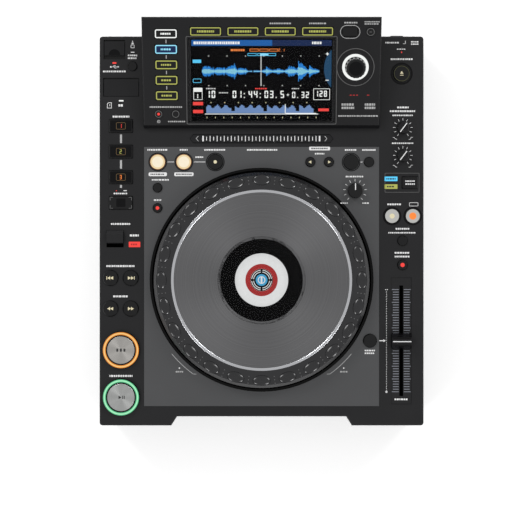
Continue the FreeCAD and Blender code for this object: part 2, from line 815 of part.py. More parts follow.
def make_jog_wheel():
    """Dimpled rim, web, hub on the post and a gear ring under the web, turned as one moulding."""
    body = new_body("jog_wheel")
    web_top = "wheel_web + wheel_web_thickness"
    ledge = "rim_inner_radius - rim_ledge_width"
    ledge_top = "plate_top - jog_plate_thickness - jog_plate_skirt - jog_press - gap"
    wall = "wheel_radius - wheel_wall"
    root = "gear_radius - 1.25 * tooth_module"
    axis = revolve(body, [
        ("post_radius + running_fit", "hub_bottom"), ("hub_radius", "hub_bottom"), ("hub_radius", "wheel_web"),
        (f"{root} - gear_rim_wall", "wheel_web"), (f"{root} - gear_rim_wall", "wheel_web - pinion_height - gap"),
        (root, "wheel_web - pinion_height - gap"), (root, "wheel_web"),
        (wall, "wheel_web"), (wall, "wheel_bottom"), ("wheel_radius", "wheel_bottom"),
        ("wheel_radius", "wheel_top - 2 * edge_radius"), ("wheel_radius - 2 * edge_radius", "wheel_top"),
        ("rim_inner_radius + edge_radius", "wheel_top"), ("rim_inner_radius", "wheel_top - edge_radius / 2"),
        ("rim_inner_radius", ledge_top), (ledge, ledge_top), (ledge, f"{ledge_top} - rim_ledge_thickness"),
        ("rim_inner_radius", f"{ledge_top} - rim_ledge_thickness"), ("rim_inner_radius + wheel_wall", web_top),
        ("hub_radius", web_top), ("hub_radius", "hub_top"), ("post_radius + running_fit", "hub_top")])
    outside = "gear_radius + tooth_module"
    flank = "(tooth_module - backlash)"
    tooth = draw(body, "XY_Plane", [[
        (f"{root} - backlash", f"-({flank} * 1.25)"), ("gear_radius", f"-{flank} * 0.78"), (outside, f"-{flank} * 0.4"),
        (outside, f"{flank} * 0.4"), ("gear_radius", f"{flank} * 0.78"), (f"{root} - backlash", f"{flank} * 1.25")]],
        "wheel_web - pinion_height - gap")
    repeat_round(body, pad(body, tooth, "pinion_height + gap"), axis, "gear_teeth")
    dimple = body.newObject("PartDesign::SubtractiveEllipsoid", "dimple")
    bind(dimple, "Radius1", "dimple_depth")
    bind(dimple, "Radius2", "dimple_half_width")
    bind(dimple, "Radius3", "dimple_half_length")
    place(dimple, "dimple_ring_radius", "0", "wheel_top")
    repeat_round(body, dimple, axis, "dimple_count")
    place(body, "0", depth("jog_from_front"), "0")
    return body


def make_encoder_pinion():
    body = new_body("encoder_pinion")
    root = "(pinion_radius - 1.25 * tooth_module)"
    axis = revolve(body, [("pinion_stud + running_fit", "0"), (root, "0"), (root, "pinion_height"),
                          ("pinion_stud + running_fit", "pinion_height")])
    outside = "pinion_radius + tooth_module"
    flank = "(tooth_module - backlash)"
    tooth = draw(body, "XY_Plane", [[
        (f"{root} - backlash", f"-{flank} * 1.0"), ("pinion_radius", f"-{flank} * 0.8"), (outside, f"-{flank} * 0.35"),
        (outside, f"{flank} * 0.35"), ("pinion_radius", f"{flank} * 0.8"), (f"{root} - backlash", f"{flank} * 1.0")]])
    repeat_round(body, pad(body, tooth, "pinion_height"), axis, "pinion_teeth")
    place(body, "-(gear_radius + pinion_radius)", depth("jog_from_front"),
          "well_floor + well_floor_thickness + gap", Z_AXIS, "pinion_bearing / pinion_teeth")
    return body


def make_jog_plate():
    body = new_body("jog_plate")
    under = "plate_top - jog_plate_thickness"
    edge = "rim_inner_radius - gap"
    revolve(body, [("window_radius + gap", "plate_top"), ("window_radius + gap", "plate_top - window_thickness"),
                   ("window_radius - window_seat", "plate_top - window_thickness"),
                   ("window_radius - window_seat", f"{under} - gap"),
                   (f"{edge} - 2 * jog_plate_skirt", f"{under} - gap"),
                   (f"{edge} - jog_plate_skirt", f"{under} - jog_plate_skirt"), (edge, f"{under} - jog_plate_skirt"),
                   (edge, "plate_top - gap"), (f"{edge} - gap", "plate_top")])
    place(body, "0", depth("jog_from_front"), "0")
    return body


def turned(label, points, x="0", y="0", z="0"):
    body = new_body(label)
    revolve(body, points)
    place(body, x, y, z)
    return body


def make_jog_window():
    bottom = "plate_top - window_thickness"
    return turned("jog_window", [("0", bottom), ("window_radius", bottom), ("window_radius", "plate_top"),
                                 ("0", "plate_top")], y=depth("jog_from_front"))


def make_jog_display():
    top = "post_top + dial_thickness"
    return turned("jog_display", [("0", "post_top"), ("dial_radius", "post_top"), ("dial_radius", top), ("0", top)],
                  y=depth("jog_from_front"))


# Buttons and knobs of the deck

def button_points(radius, rise, axis="0"):
    """Section of a capped round key: a flange held under the deck skin and a chamfered cap."""
    return [(axis, "-button_flange_thickness"), (f"{radius} + button_flange", "-button_flange_thickness"),
            (f"{radius} + button_flange", "0"), (radius, "0"),
            (radius, f"deck_skin + {rise} - button_edge"), (f"{radius} - button_edge", f"deck_skin + {rise}"),
            (axis, f"deck_skin + {rise}")]


def make_round_button(label):
    return turned(label, button_points(f"{label}_radius", "button_rise"), f"{label}_x",
                  depth(f"{label}_from_front"), "under_skin")


def make_big_button(label):
    """Cue and play keys: a lit outer ring, a groove and a dished metal face."""
    top = "deck_skin + big_button_rise"
    points = button_points(f"{label}_radius", "big_button_rise")[:-1]
    points += [("big_button_groove_radius", top), ("big_button_groove_radius", f"{top} - big_button_groove"),
               ("big_button_disc_radius", f"{top} - big_button_groove"), ("big_button_disc_radius", top),
               ("0", f"{top} - big_button_dish")]
    return turned(label, points, f"{label}_x", depth(f"{label}_from_front"), "under_skin")


def make_knob(label, turn):
    """Turning knob on a stem, with a pointer groove across its top."""
    foot = "-knob_foot"
    bottom = "deck_skin + gap"
    top = f"{bottom} + knob_rise"
    radius = f"{label}_radius"
    body = new_body(label)
    revolve(body, [("0", foot), ("knob_stem", foot), ("knob_stem", bottom), (radius, bottom),
                   (f"{radius} - button_edge", f"{top} - button_edge"), (f"{radius} - 2 * button_edge", top),
                   ("0", top)])
    mark = span("-knob_mark_width / 2", "0", "knob_mark_width / 2", f"{radius} + gap")
    sink(body, [mark], f"{top} - knob_mark_width / 2", top)
    place(body, f"{label}_x", depth(f"{label}_from_front"), "under_skin", Z_AXIS, turn)
    return body


def make_flat_key(label, x, y, width, length):
    """Oblong key with a flange under the deck skin and rounded upper corners."""
    body = new_body(label)
    block(body, rectangle("0", "0", f"{width} + 2 * button_flange", f"{length} + 2 * button_flange"),
          "-button_flange_thickness", "0")
    block(body, rectangle("0", "0", width, length), "0", "deck_skin + button_rise")
    top = value("deck_skin + button_rise")
    round_edges(body, "Fillet", "key_corner", lambda edge: is_upright(edge) and edge.BoundBox.ZMax > top - 1e-6)
    round_edges(body, "Chamfer", "button_edge", lambda edge: lies_at(edge, top))
    place(body, x, y, "under_skin")
    return body


def make_call_keys():
    """The two cue-call keys are one sprung moulding joined under the deck."""
    body = new_body("call_keys")
    top = "deck_skin + button_rise"
    for key in CALL_KEYS:
        middle = f"({key}_x - call_back_x)"
        flange = draw(body, "XY_Plane", [circle(middle, "0", f"{key}_radius + button_flange")],
                      "-button_flange_thickness")
        pad(body, flange, "button_flange_thickness")
        cap = draw(body, "XY_Plane", [circle(middle, "0", f"{key}_radius")], "-button_flange_thickness")
        pad(body, cap, f"{top} + button_flange_thickness")
    block(body, span("0", "-button_flange", "call_next_x - call_back_x", "button_flange"),
          "-button_flange_thickness", "0")
    round_edges(body, "Chamfer", "button_edge", lambda edge: lies_at(edge, value(top)))
    place(body, "call_back_x", depth("call_back_from_front"), "under_skin")
    return body


def make_direction_lever():
    """Two-position lever; its own frame has the pin axis at the origin, and it rests leaning back."""
    body = new_body("direction_lever")
    width = "lever_slot_width - 2 * lever_gap"
    top = "lever_axis_depth + lever_rise"
    half = "lever_length / 2"
    side = draw(body, "YZ_Plane", [[("-lever_waist / 2", "-lever_waist / 2"), ("lever_waist / 2", "-lever_waist / 2"),
                                    (half, "lever_axis_depth - deck_skin"), (half, f"{top} - lever_rise / 2"),
                                    ("lever_waist / 4", top), (f"-({half})", f"{top} - lever_rise / 2"),
                                    (f"-({half})", "lever_axis_depth - deck_skin")]],
                f"-({width}) / 2")
    pad(body, side, width)
    pin_length = "lever_slot_width + 2 * lever_ear"
    pin = draw(body, "YZ_Plane", [circle("0", "0", "lever_pin")], f"-({pin_length}) / 2")
    pad(body, pin, pin_length)
    place(body, "lever_x", depth("lever_from_front"), "deck_height - lever_axis_depth", X_AXIS, "-lever_lean")
    return body


def make_fader_cap():
    body = new_body("fader_cap")
    bottom = "gap"
    top = "gap + fader_cap_height"
    half = "fader_cap_length / 2"
    crest = "fader_cap_top / 2"
    section = draw(body, "YZ_Plane", [[(f"-{half}", bottom), (half, bottom), (half, f"{bottom} + fader_cap_groove"),
                                       (crest, top), ("0", f"{top} - fader_cap_groove"), (f"-{crest}", top),
                                       (f"-{half}", f"{bottom} + fader_cap_groove")]], "-fader_cap_width / 2")
    pad(body, section, "fader_cap_width")
    block(body, rectangle("0", "0", "fader_stem_width", "fader_stem_length"),
          "-deck_skin - fader_stem_depth", bottom)
    place(body, "fader_x", depth("fader_from_front"), "deck_height")
    return body


def make_fader_unit():
    """Slide potentiometer: an open channel hung under the fader slot."""
    body = new_body("fader_unit")
    y = depth("fader_from_front")
    bottom = "under_skin - fader_unit_height"
    block(body, rectangle("fader_x", y, "fader_unit_width", "fader_unit_length"), bottom, "under_skin")
    sink(body, [rectangle("fader_x", y, "fader_unit_width - 2 * fader_unit_wall",
                          "fader_unit_length - 2 * fader_unit_wall")], f"{bottom} + fader_unit_wall", "under_skin")
    return body


# Doors over the media sockets

def hinge_line(door):
    return f"({depth(door + '_rear')} - hinge_drop)"


def door_recess(door, front_gap):
    return span(f"{door}_x - {door}_width / 2 - door_gap", f"{depth(door + '_front')} - {front_gap}",
                f"{door}_x + {door}_width / 2 + door_gap", f"{depth(door + '_rear')} + door_rear_gap")


def make_door(label, door):
    """A flap whose pins turn in the sides of its recess; its own frame has the pins on X."""
    body = new_body(label)
    length = f"{door}_rear - {door}_front"
    half = f"{door}_width / 2"
    block(body, span(f"-{half}", f"hinge_drop - ({length})", half, "hinge_drop"),
          "hinge_drop - door_thickness", "hinge_drop")
    barrel = draw(body, "YZ_Plane", [circle("0", "0", "hinge_radius")], f"-{half}")
    pad(body, barrel, f"{door}_width")
    pin = draw(body, "YZ_Plane", [circle("0", "0", "hinge_pin")], f"-{half} - hinge_pin_length")
    pad(body, pin, f"{door}_width + 2 * hinge_pin_length")
    place(body, f"{door}_x", hinge_line(door), "deck_height - hinge_drop")
    return body


def make_media_sockets():
    """Socket block under both doors: an upright USB socket and a slot for a card."""
    body = new_body("media_sockets")
    top = "under_skin"
    bottom = "under_skin - media_height"
    left = "card_x - card_width / 2"
    front = f"{depth('card_front')} - media_margin"
    step = f"{depth('card_rear')} + media_step"
    rear = f"{depth('usb_rear')} + media_margin"
    card_right = "card_x + card_width / 2 + media_margin"
    usb_right = "usb_x + usb_width / 2 + door_gap + gap"
    block(body, [(left, front), (card_right, front), (card_right, step), (usb_right, step), (usb_right, rear),
                 (left, rear)], bottom, top)
    usb_y = depth("(usb_front + usb_rear) / 2 - hinge_drop")
    sink(body, [rectangle("usb_x", usb_y, "usb_socket_width", "usb_socket_length")],
         f"{top} - usb_socket_depth", top)
    block(body, rectangle("usb_x", f"{usb_y} + usb_socket_length / 4", "usb_socket_width - usb_socket_length",
                          "usb_tongue_thickness"), f"{top} - usb_socket_depth", f"{top} - socket_mouth")
    sink(body, [rectangle("card_x", depth("(card_front + card_rear) / 2 - hinge_drop"), "card_slot_width",
                          "card_slot_height")], f"{top} - usb_socket_depth", top)
    return body


# Display head, drawn in the frame of its sloping face

def head_point(y, z):
    """A point of the upright section in the frame of the sloping face."""
    back = f"(({y}) - {depth('head_face_front')})"
    high = f"(({z}) - head_front_height)"
    return (f"{back} * cos(head_tilt) + {high} * sin(head_tilt)",
            f"{high} * cos(head_tilt) - {back} * sin(head_tilt)")


def head_section(inset):
    """Side section of the head: its foot on the deck, its face and its overhanging back."""
    low = "deck_height"
    rear = f"total_depth / 2 - {inset}"
    underside = "head_front_height + (total_depth - head_face_front) * tan(head_tilt) - head_rear_drop"
    return [head_point(f"{depth('head_foot_front')} + {inset}", low), head_point(f"rear - {inset}", low),
            head_point(f"rear - {inset}", f"{low} + head_skin"), head_point(rear, underside),
            (f"head_length - {inset}", f"-{inset}"), (inset, f"-{inset}")]


def key_holes():
    """Holes in the sloping face for the keys and the selector."""
    holes = [rectangle("source_x", f"source_first + {step} * source_pitch", "source_width + 2 * button_gap",
                       "source_length + 2 * button_gap") for step in range(5)]
    holes += [rectangle(f"menu_first_x + {step} * menu_pitch", "menu_along", "menu_width + 2 * button_gap",
                        "menu_length + 2 * button_gap") for step in range(4)]
    holes.append(rectangle("back_x", "upper_keys_along", "back_width + 2 * button_gap",
                           "back_length + 2 * button_gap"))
    holes.append(circle("tag_x", "upper_keys_along", "tag_radius + button_gap"))
    holes.append(circle("mode_first_x", "mode_along", "mode_radius + button_gap"))
    holes.append(circle("mode_second_x", "mode_along", "mode_radius + button_gap"))
    holes.append(circle("selector_x", "selector_along", "selector_stem + button_gap"))
    holes.append(rectangle("0", "(glass_front + glass_rear) / 2", "lcd_width", "glass_rear - glass_front - lcd_margin"))
    return holes


def make_head_housing():
    body = new_body("head_housing")
    side = draw(body, "YZ_Plane", [head_section("0")], "-head_width / 2")
    pad(body, side, "head_width")
    face_end = value("head_length") - 1e-3
    round_edges(body, "Fillet", "head_edge",
                lambda edge: lies_at(edge, 0) and (edge.BoundBox.XLength > 1 or edge.BoundBox.YLength > face_end))
    hollow = draw(body, "YZ_Plane", [head_hollow()], "head_width / 2 - head_skin")
    pocket(body, hollow, "head_width - 2 * head_skin")
    sink(body, [span("-glass_width / 2 - glass_gap", "glass_front - glass_gap", "glass_width / 2 + glass_gap",
                     "glass_rear + glass_gap")], "-glass_thickness", "0")
    sink(body, [circle("selector_x", "selector_along", "selector_dish_radius")], "-selector_dish_depth", "0")
    sink(body, key_holes(), "-head_skin", "0")
    place_on_head(body)
    return body


def head_hollow():
    """The space inside the head, open downwards over the opening in the deck."""
    points = head_section("head_skin")
    return [head_point(f"{depth('head_foot_front')} + head_skin", "deck_height - deck_skin")] + [
        head_point("rear - head_skin", "deck_height - deck_skin")] + points[2:]


def make_display_glass():
    body = new_body("display_glass")
    block(body, span("-glass_width / 2", "glass_front", "glass_width / 2", "glass_rear"), "-glass_thickness", "0")
    place_on_head(body)
    return body


def make_lcd_module():
    """Screen panel, its face in the window of the head and its back plate under the skin."""
    body = new_body("lcd_module")
    middle = "(glass_front + glass_rear) / 2"
    length = "glass_rear - glass_front - lcd_margin - 2 * plate_gap"
    block(body, rectangle("0", middle, "lcd_width - 2 * plate_gap", length), "-head_skin", "-glass_thickness - gap")
    block(body, rectangle("0", middle, "lcd_width + 2 * lcd_margin", length), "-head_skin - lcd_depth", "-head_skin")
    place_on_head(body)
    return body


def head_keys(label, oblongs, rounds, carriers):
    """Key caps that rise from one sprung carrier under the sloping face."""
    body = new_body(label)
    for carrier in carriers:
        block(body, carrier, "-head_skin - carrier_thickness", "-head_skin")
    for shape in oblongs:
        block(body, shape, "-head_skin - carrier_thickness", "head_key_rise")
    top = value("head_key_rise")
    round_edges(body, "Fillet", "key_corner", lambda edge: is_upright(edge) and edge.BoundBox.ZMax > top - 1e-6)
    for shape in rounds:
        pad(body, draw(body, "XY_Plane", [shape], "-head_skin - carrier_thickness"),
            "head_key_rise + head_skin + carrier_thickness")
    round_edges(body, "Chamfer", "button_edge", lambda edge: lies_at(edge, top))
    place_on_head(body)
    return body


def make_source_keys():
    oblongs = [rectangle("source_x", f"source_first + {step} * source_pitch", "source_width", "source_length")
               for step in range(5)]
    rounds = [circle(x, "mode_along", "mode_radius") for x in ("mode_first_x", "mode_second_x")]
    carrier = span("source_x - source_width / 2 - carrier_margin", "mode_along - mode_radius - carrier_margin",
                   "source_x + source_width / 2 + carrier_margin",
                   "source_first + 4 * source_pitch + source_length / 2 + carrier_margin")
    return head_keys("source_keys", oblongs, rounds, [carrier])


def make_menu_keys():
    oblongs = [rectangle(f"menu_first_x + {step} * menu_pitch", "menu_along", "menu_width", "menu_length")
               for step in range(4)]
    carrier = rectangle("0", "menu_along", "3 * menu_pitch + menu_width + 2 * carrier_margin",
                        "menu_length + carrier_margin")
    return head_keys("menu_keys", oblongs, [], [carrier])


def make_back_tag_keys():
    oblongs = [rectangle("back_x", "upper_keys_along", "back_width", "back_length")]
    rounds = [circle("tag_x", "upper_keys_along", "tag_radius")]
    carrier = span("back_x - back_width / 2 - carrier_margin", "upper_keys_along - back_length / 2 - carrier_margin",
                   "tag_x + tag_radius + carrier_margin", "upper_keys_along + back_length / 2 + carrier_margin")
    return head_keys("back_tag_keys", oblongs, rounds, [carrier])


def make_selector_knob():
    """Fluted knob that turns and presses along the normal of the sloping face."""
    body = new_body("selector_knob")
    bottom = "selector_press + gap - selector_dish_depth"
    top = "selector_rise"
    axis = revolve(body, [("0", "-head_skin - selector_foot"), ("selector_stem", "-head_skin - selector_foot"),
                          ("selector_stem", bottom), ("selector_radius", bottom),
                          ("selector_radius - button_edge", f"{top} - 2 * button_edge"),
                          ("selector_radius - 3 * button_edge", top), ("0", f"{top} - button_edge")])
    flute = draw(body, "XY_Plane", [circle("selector_radius + selector_flute / 4", "0", "selector_flute")], top)
    repeat_round(body, pocket(body, flute, f"{top} - ({bottom}) - button_edge"), axis, "selector_flutes")
    place_on_head(body, "selector_x", "selector_along")
    return body


def needle_outline(grow):
    """Long strip with pointed ends."""
    y = depth("needle_from_front")
    tip = f"(needle_half_length + {grow})"
    flat = f"(needle_half_flat + {grow})"
    half = f"(needle_length / 2 + {grow})"
    return [(f"-{tip}", y), (f"-{flat}", f"{y} - {half}"), (flat, f"{y} - {half}"), (tip, y),
            (flat, f"{y} + {half}"), (f"-{flat}", f"{y} + {half}")]


def make_needle_strip():
    body = new_body("needle_strip")
    bottom = "deck_height - needle_bed"
    block(body, needle_outline("0"), bottom, f"{bottom} + needle_thickness")
    top = value(f"{bottom} + needle_thickness")
    round_edges(body, "Chamfer", "button_edge", lambda edge: lies_at(edge, top))
    return body


# Disc drive

def make_drive_frame():
    body = new_body("drive_frame")
    half = "drive_width / 2"
    floor = "drive_bottom + drive_floor"
    block(body, span(f"-{half}", depth("drive_front"), half, depth("drive_rear")), "drive_bottom", "drive_top")
    sink(body, [span(f"-{half} + drive_wall", f"{depth('drive_front')} + drive_wall", f"{half} - drive_wall",
                     f"{depth('drive_rear')} - drive_wall")], floor, "drive_top")
    throat = draw(body, "XZ_Plane", [rectangle("0", "slot_bottom + slot_height / 2", "slot_width", "slot_height")],
                  f"-{depth('drive_front')} + drive_wall")
    pocket(body, throat, "4 * drive_wall")
    boss = draw(body, "XY_Plane", [circle("0", depth("spindle_from_front"), "spindle_boss")], floor)
    pad(body, boss, "1")
    bore = circle("0", depth("spindle_from_front"), "spindle_shaft + running_fit")
    sink(body, [bore], "drive_bottom", f"{floor} + 1")
    rail_front = f"({depth('spindle_from_front')} + turntable_radius)"
    for side in (-1, 1):
        x = f"{side} * rail_x"
        block(body, span(f"{x} - 3", f"{rail_front} - 4", f"{x} + 3", rail_front), floor, "rail_height + 1")
        block(body, span(f"{x} - 3", depth("rail_rear"), f"{x} + 3", f"{depth('drive_rear')} - drive_wall"), floor,
              "rail_height + 1")
        rail = draw(body, "XZ_Plane", [circle(x, "rail_height", "rail_radius")], f"-{depth('rail_rear')} - gap")
        pad(body, rail, "rail_rear - spindle_from_front - turntable_radius + 2 * gap")
    return body


def make_optical_pickup():
    body = new_body("optical_pickup")
    y = f"{depth('pickup_front')} + pickup_length / 2"
    top = "rail_height + pickup_height / 2"
    block(body, rectangle("0", y, "pickup_width", "pickup_length"), "rail_height - pickup_height / 2", top)
    lens = draw(body, "XY_Plane", [circle("0", y, "lens_radius")], top)
    pad(body, lens, "lens_rise")
    for side in (-1, 1):
        bore = draw(body, "XZ_Plane", [circle(f"{side} * rail_x", "rail_height", "rail_radius + running_fit")],
                    f"-{depth('pickup_front')} + gap")
        pocket(body, bore, "pickup_length + 2 * gap")
    return body


def make_spindle_hub():
    seat = "disc_height - turntable_thickness - 1"
    return turned("spindle_hub", [
        ("0", "drive_bottom"), ("spindle_shaft", "drive_bottom"), ("spindle_shaft", seat),
        ("turntable_radius", seat), ("turntable_radius", f"{seat} + turntable_thickness"),
        ("cone_radius", f"{seat} + turntable_thickness"),
        ("cone_radius - cone_height", f"{seat} + turntable_thickness + cone_height"),
        ("0", f"{seat} + turntable_thickness + cone_height")], y=depth("spindle_from_front"))


# Boards

def make_circuit_boards():
    boards = []
    for board in ("main_board", "supply"):
        boards.append(box(board, f"{board}_x", depth(f"{board}_front"), "board_height", f"{board}_width",
                          f"{board}_rear - {board}_front", "board_thickness"))
    top = "board_height + board_thickness"
    chip = box("processor", "main_board_x", depth("(main_board_front + main_board_rear - chip_width) / 2"), top,
               "chip_width", "chip_width", "chip_height")
    core = box("transformer", "supply_x", depth("supply_front + 3 * boss_radius"), top, "transformer_width",
               "transformer_width", "transformer_height")
    can = cylinder("capacitor", "supply_x", depth("supply_rear - 6 * boss_radius"), top, "capacitor_radius",
                   "capacitor_height")
    return group("circuit_boards", [fuse("main_circuit", [boards[0], chip]), fuse("supply_circuit",
                                                                                 [boards[1], core, can])])


# Rear panel and sockets

def jack_places():
    return [f"(jack_first_x + {step} * jack_pitch)" for step in range(3)]


CONTROL_X = "(jack_first_x + 3 * jack_pitch)"


def make_rear_panel():
    body = new_body("rear_panel")
    half = "(deck_width / 2 - case_wall - panel_gap)"
    sheet_loop = rectangle("0", "(case_bottom + under_skin - panel_gap) / 2", f"2 * {half}",
                           "under_skin - panel_gap - case_bottom")
    plate = draw(body, "XZ_Plane", [sheet_loop], "-rear")
    pad(body, plate, "panel_thickness")
    holes = [rectangle(f"{name}_x", "socket_height", f"{name}_width + 2 * hole_gap", f"{name}_height + 2 * hole_gap")
             for name in ("inlet", "network", "square", "power")]
    holes += [circle(x, "socket_height", "jack_collar_radius + hole_gap") for x in jack_places()]
    holes.append(circle(CONTROL_X, "socket_height", "control_radius + hole_gap"))
    pocket(body, draw(body, "XZ_Plane", holes, "-rear + panel_thickness"), "panel_thickness")
    return body


def socket_block(name, length, wall):
    """A rectangular socket let into the panel, open to the rear."""
    whole = box(name, f"{name}_x", f"rear - {length}", f"socket_height - {name}_height / 2", f"{name}_width",
                length, f"{name}_height")
    space = box(name + "_space", f"{name}_x", f"rear - {length} + {wall}",
                f"socket_height - {name}_height / 2 + {wall}", f"{name}_width - 2 * {wall}", length,
                f"{name}_height - 2 * {wall}")
    return cut(name + "_shell", whole, [space])


def phono_socket(number, x):
    """A plated shell on an insulating collar that passes through the panel."""
    collar_reach = "panel_thickness + jack_collar_rise"
    base = box(f"jack_base_{number}", x, "panel_front - jack_base", "socket_height - jack_base / 2",
               "jack_base", "jack_base", "jack_base")
    collar = cylinder(f"jack_collar_{number}", x, "panel_front", "socket_height", "jack_collar_radius",
                      collar_reach, backwards=True)
    shell = cylinder(f"jack_{number}", x, "panel_front", "socket_height", "jack_radius",
                     f"{collar_reach} + jack_reach", backwards=True)
    bore = cylinder(f"jack_bore_{number}", x, "panel_front", "socket_height", "jack_bore",
                    f"{collar_reach} + jack_reach + panel_thickness", backwards=True)
    return cut(f"jack_{number}_whole", fuse(f"jack_{number}_body", [base, collar, shell]), [bore])


def make_rear_connectors():
    inlet = socket_block("inlet", "inlet_depth", "inlet_wall")
    pins = [box(f"inlet_pin_{side}", f"inlet_x + {side} * inlet_pin_spacing / 2", "rear - inlet_depth",
                "socket_height - inlet_pin_width / 2", "inlet_pin_width", "inlet_depth - 2 * inlet_wall",
                "inlet_pin_width") for side in (-1, 1)]
    network = socket_block("network", "data_depth", "network_wall")
    square = socket_block("square", "data_depth", "square_wall")
    tongue = box("square_tongue", "square_x", "rear - data_depth", "socket_height - square_tongue / 2",
                 "square_width / 3", "data_depth - socket_mouth", "square_tongue")
    sockets = [fuse("mains_socket", [inlet, *pins]), network, fuse("square_socket", [square, tongue])]
    sockets += [phono_socket(number, x) for number, x in enumerate(jack_places())]
    barrel = cylinder("control", CONTROL_X, "panel_front", "socket_height", "control_radius",
                      "control_reach + panel_thickness", backwards=True)
    base = box("control_base", CONTROL_X, "panel_front - jack_base", "socket_height - jack_base / 2",
               "jack_base", "jack_base", "jack_base")
    bore = cylinder("control_hole", CONTROL_X, "panel_front - jack_base / 2", "socket_height", "control_bore",
                    "jack_base", backwards=True)
    sockets.append(cut("control_whole", fuse("control_body", [barrel, base]), [bore]))
    return group("rear_connectors", sockets)


def make_power_button():
    """Push-push mains key; a flange inside the panel keeps it in."""
    body = new_body("power_button")
    cap = draw(body, "XZ_Plane", [rectangle("0", "0", "power_width", "power_height")], "-power_reach - panel_thickness")
    pad(body, cap, "power_reach + panel_thickness")
    flange = draw(body, "XZ_Plane", [rectangle("0", "0", "power_width + 2 * button_flange",
                                               "power_height + 2 * button_flange")])
    pad(body, flange, "button_flange_thickness")
    place(body, "power_x", "panel_front", "socket_height")
    return body


def make_everything():
    parts = [make_chassis_tray(), make_top_case(), make_deck_plate(), make_feet(), make_needle_strip(),
             make_head_housing(), make_display_glass(), make_lcd_module(), make_rear_panel(),
             make_rear_connectors(), make_power_button(), make_drive_frame(), make_spindle_hub(),
             make_optical_pickup(), make_circuit_boards(), make_media_sockets(), make_door("usb_cover", "usb"),
             make_door("card_door", "card"), make_jog_base(), make_jog_wheel(), make_encoder_pinion(),
             make_jog_plate(), make_jog_window(), make_jog_display(), make_fader_unit(), make_fader_cap(),
             make_direction_lever(), make_source_keys(), make_menu_keys(), make_back_tag_keys(),
             make_selector_knob(), make_call_keys()]
    parts += [make_round_button(label) for label in ROUND_BUTTONS]
    parts += [make_big_button(label) for label in BIG_BUTTONS]
    parts += [make_knob(label, "speed_knob_turn") for label in ("brake_knob", "release_knob")]
    parts.append(make_knob("jog_adjust_knob", "adjust_knob_turn"))
    for number in (1, 2, 3):
        parts.append(make_flat_key(f"hot_cue_button_{number}", "pad_x", depth(f"pad_{number}"), "pad_width",
                                   "pad_length"))
    parts.append(make_flat_key("record_button", "pad_x", depth("pad_record"), "pad_width", "pad_length"))
    parts.append(make_flat_key("jog_mode_button", "mode_key_x", depth("mode_key_from_front"), "mode_key_width",
                               "mode_key_length"))
    return parts


def check_features():
    """Stop if a feature failed or a cut removed nothing."""
    for item in document.Objects:
        if "Invalid" in item.State or "Error" in item.State:
            raise RuntimeError(f"{item.Label} failed: {item.State}")
        if item.TypeId in ("PartDesign::Pocket", "PartDesign::Groove", "PartDesign::SubtractiveEllipsoid"):
            if item.Shape.Volume > item.BaseFeature.Shape.Volume - 0.01:
                raise RuntimeError(f"{item.Label} cuts nothing")


def write(parts):
    os.makedirs("parts", exist_ok=True)
    for part in parts:
        shape = part.Shape
        if shape.isNull() or not shape.isValid():
            raise RuntimeError(f"{part.Label} has no valid shape")
        shape.exportStep(f"parts/{part.Label}.step")


pieces = make_everything()
document.recompute()
check_features()
write(pieces)
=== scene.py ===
import json
import math
import random

import bpy
from mathutils import Matrix, Vector


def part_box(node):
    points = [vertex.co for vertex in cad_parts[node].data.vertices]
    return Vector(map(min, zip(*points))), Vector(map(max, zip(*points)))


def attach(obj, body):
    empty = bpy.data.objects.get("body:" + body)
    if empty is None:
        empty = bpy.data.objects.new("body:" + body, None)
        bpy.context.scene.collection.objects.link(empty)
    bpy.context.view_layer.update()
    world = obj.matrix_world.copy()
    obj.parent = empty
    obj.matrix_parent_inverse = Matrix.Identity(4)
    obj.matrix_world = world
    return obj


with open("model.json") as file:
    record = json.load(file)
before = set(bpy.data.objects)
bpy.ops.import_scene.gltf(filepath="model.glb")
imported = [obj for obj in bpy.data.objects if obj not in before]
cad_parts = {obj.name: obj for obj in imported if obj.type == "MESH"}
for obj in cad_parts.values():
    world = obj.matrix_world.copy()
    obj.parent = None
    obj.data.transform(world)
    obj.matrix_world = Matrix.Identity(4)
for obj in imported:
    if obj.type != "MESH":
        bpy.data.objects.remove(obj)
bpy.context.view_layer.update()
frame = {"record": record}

# Looks of the tabletop disc player. Every length below is in millimetres, in the CAD frame.
MM = 0.001
# Thickness of print on a surface, and of print laid over other print.
PRINT_THICKNESS = 0.08
OVERPRINT = 0.06
ROUND_STEPS = 48
JOINTS = {joint["name"]: joint for joint in frame["record"]["behaviour"]["joints"]}


def node_box(node):
    """Lowest and highest corner of a CAD node, in millimetres."""
    low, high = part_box(node)
    return low / MM, high / MM


def centre_of(node):
    low, high = node_box(node)
    return (low + high) / 2


def top_of(node):
    return node_box(node)[1].z


DECK_TOP = top_of("top_case")
PLATE_TOP = top_of("deck_plate")
JOG = Vector(JOINTS["jog_spin"]["pos_m"]) / MM

# The frame of the sloping face: X across, Y up the slope, Z out of the face.
PRESS = Vector(JOINTS["menu_keys_press"]["axis"])
TILT = math.atan2(PRESS.y, -PRESS.z)
FACE_FRONT = Vector((0, 93.6, 82.5))
SELECTOR = (88.6, 55.6)
HEAD = Matrix.Translation(FACE_FRONT) @ Matrix.Rotation(TILT, 4, "X")
FLAT = Matrix.Identity(4)


def level(height):
    """A flat drawing plane at a height above the table."""
    return Matrix.Translation((0, 0, height))


def on_head(height=0.0):
    return HEAD @ Matrix.Translation((0, 0, height))


# Materials

def new_material(name):
    material = bpy.data.materials.new(name)
    material.use_nodes = True
    shader = material.node_tree.nodes["Principled BSDF"]
    return material, material.node_tree, shader


def add_node(tree, kind, **values):
    node = tree.nodes.new(kind)
    for key, value in values.items():
        if key in node.inputs:
            node.inputs[key].default_value = value
        else:
            setattr(node, key, value)
    return node


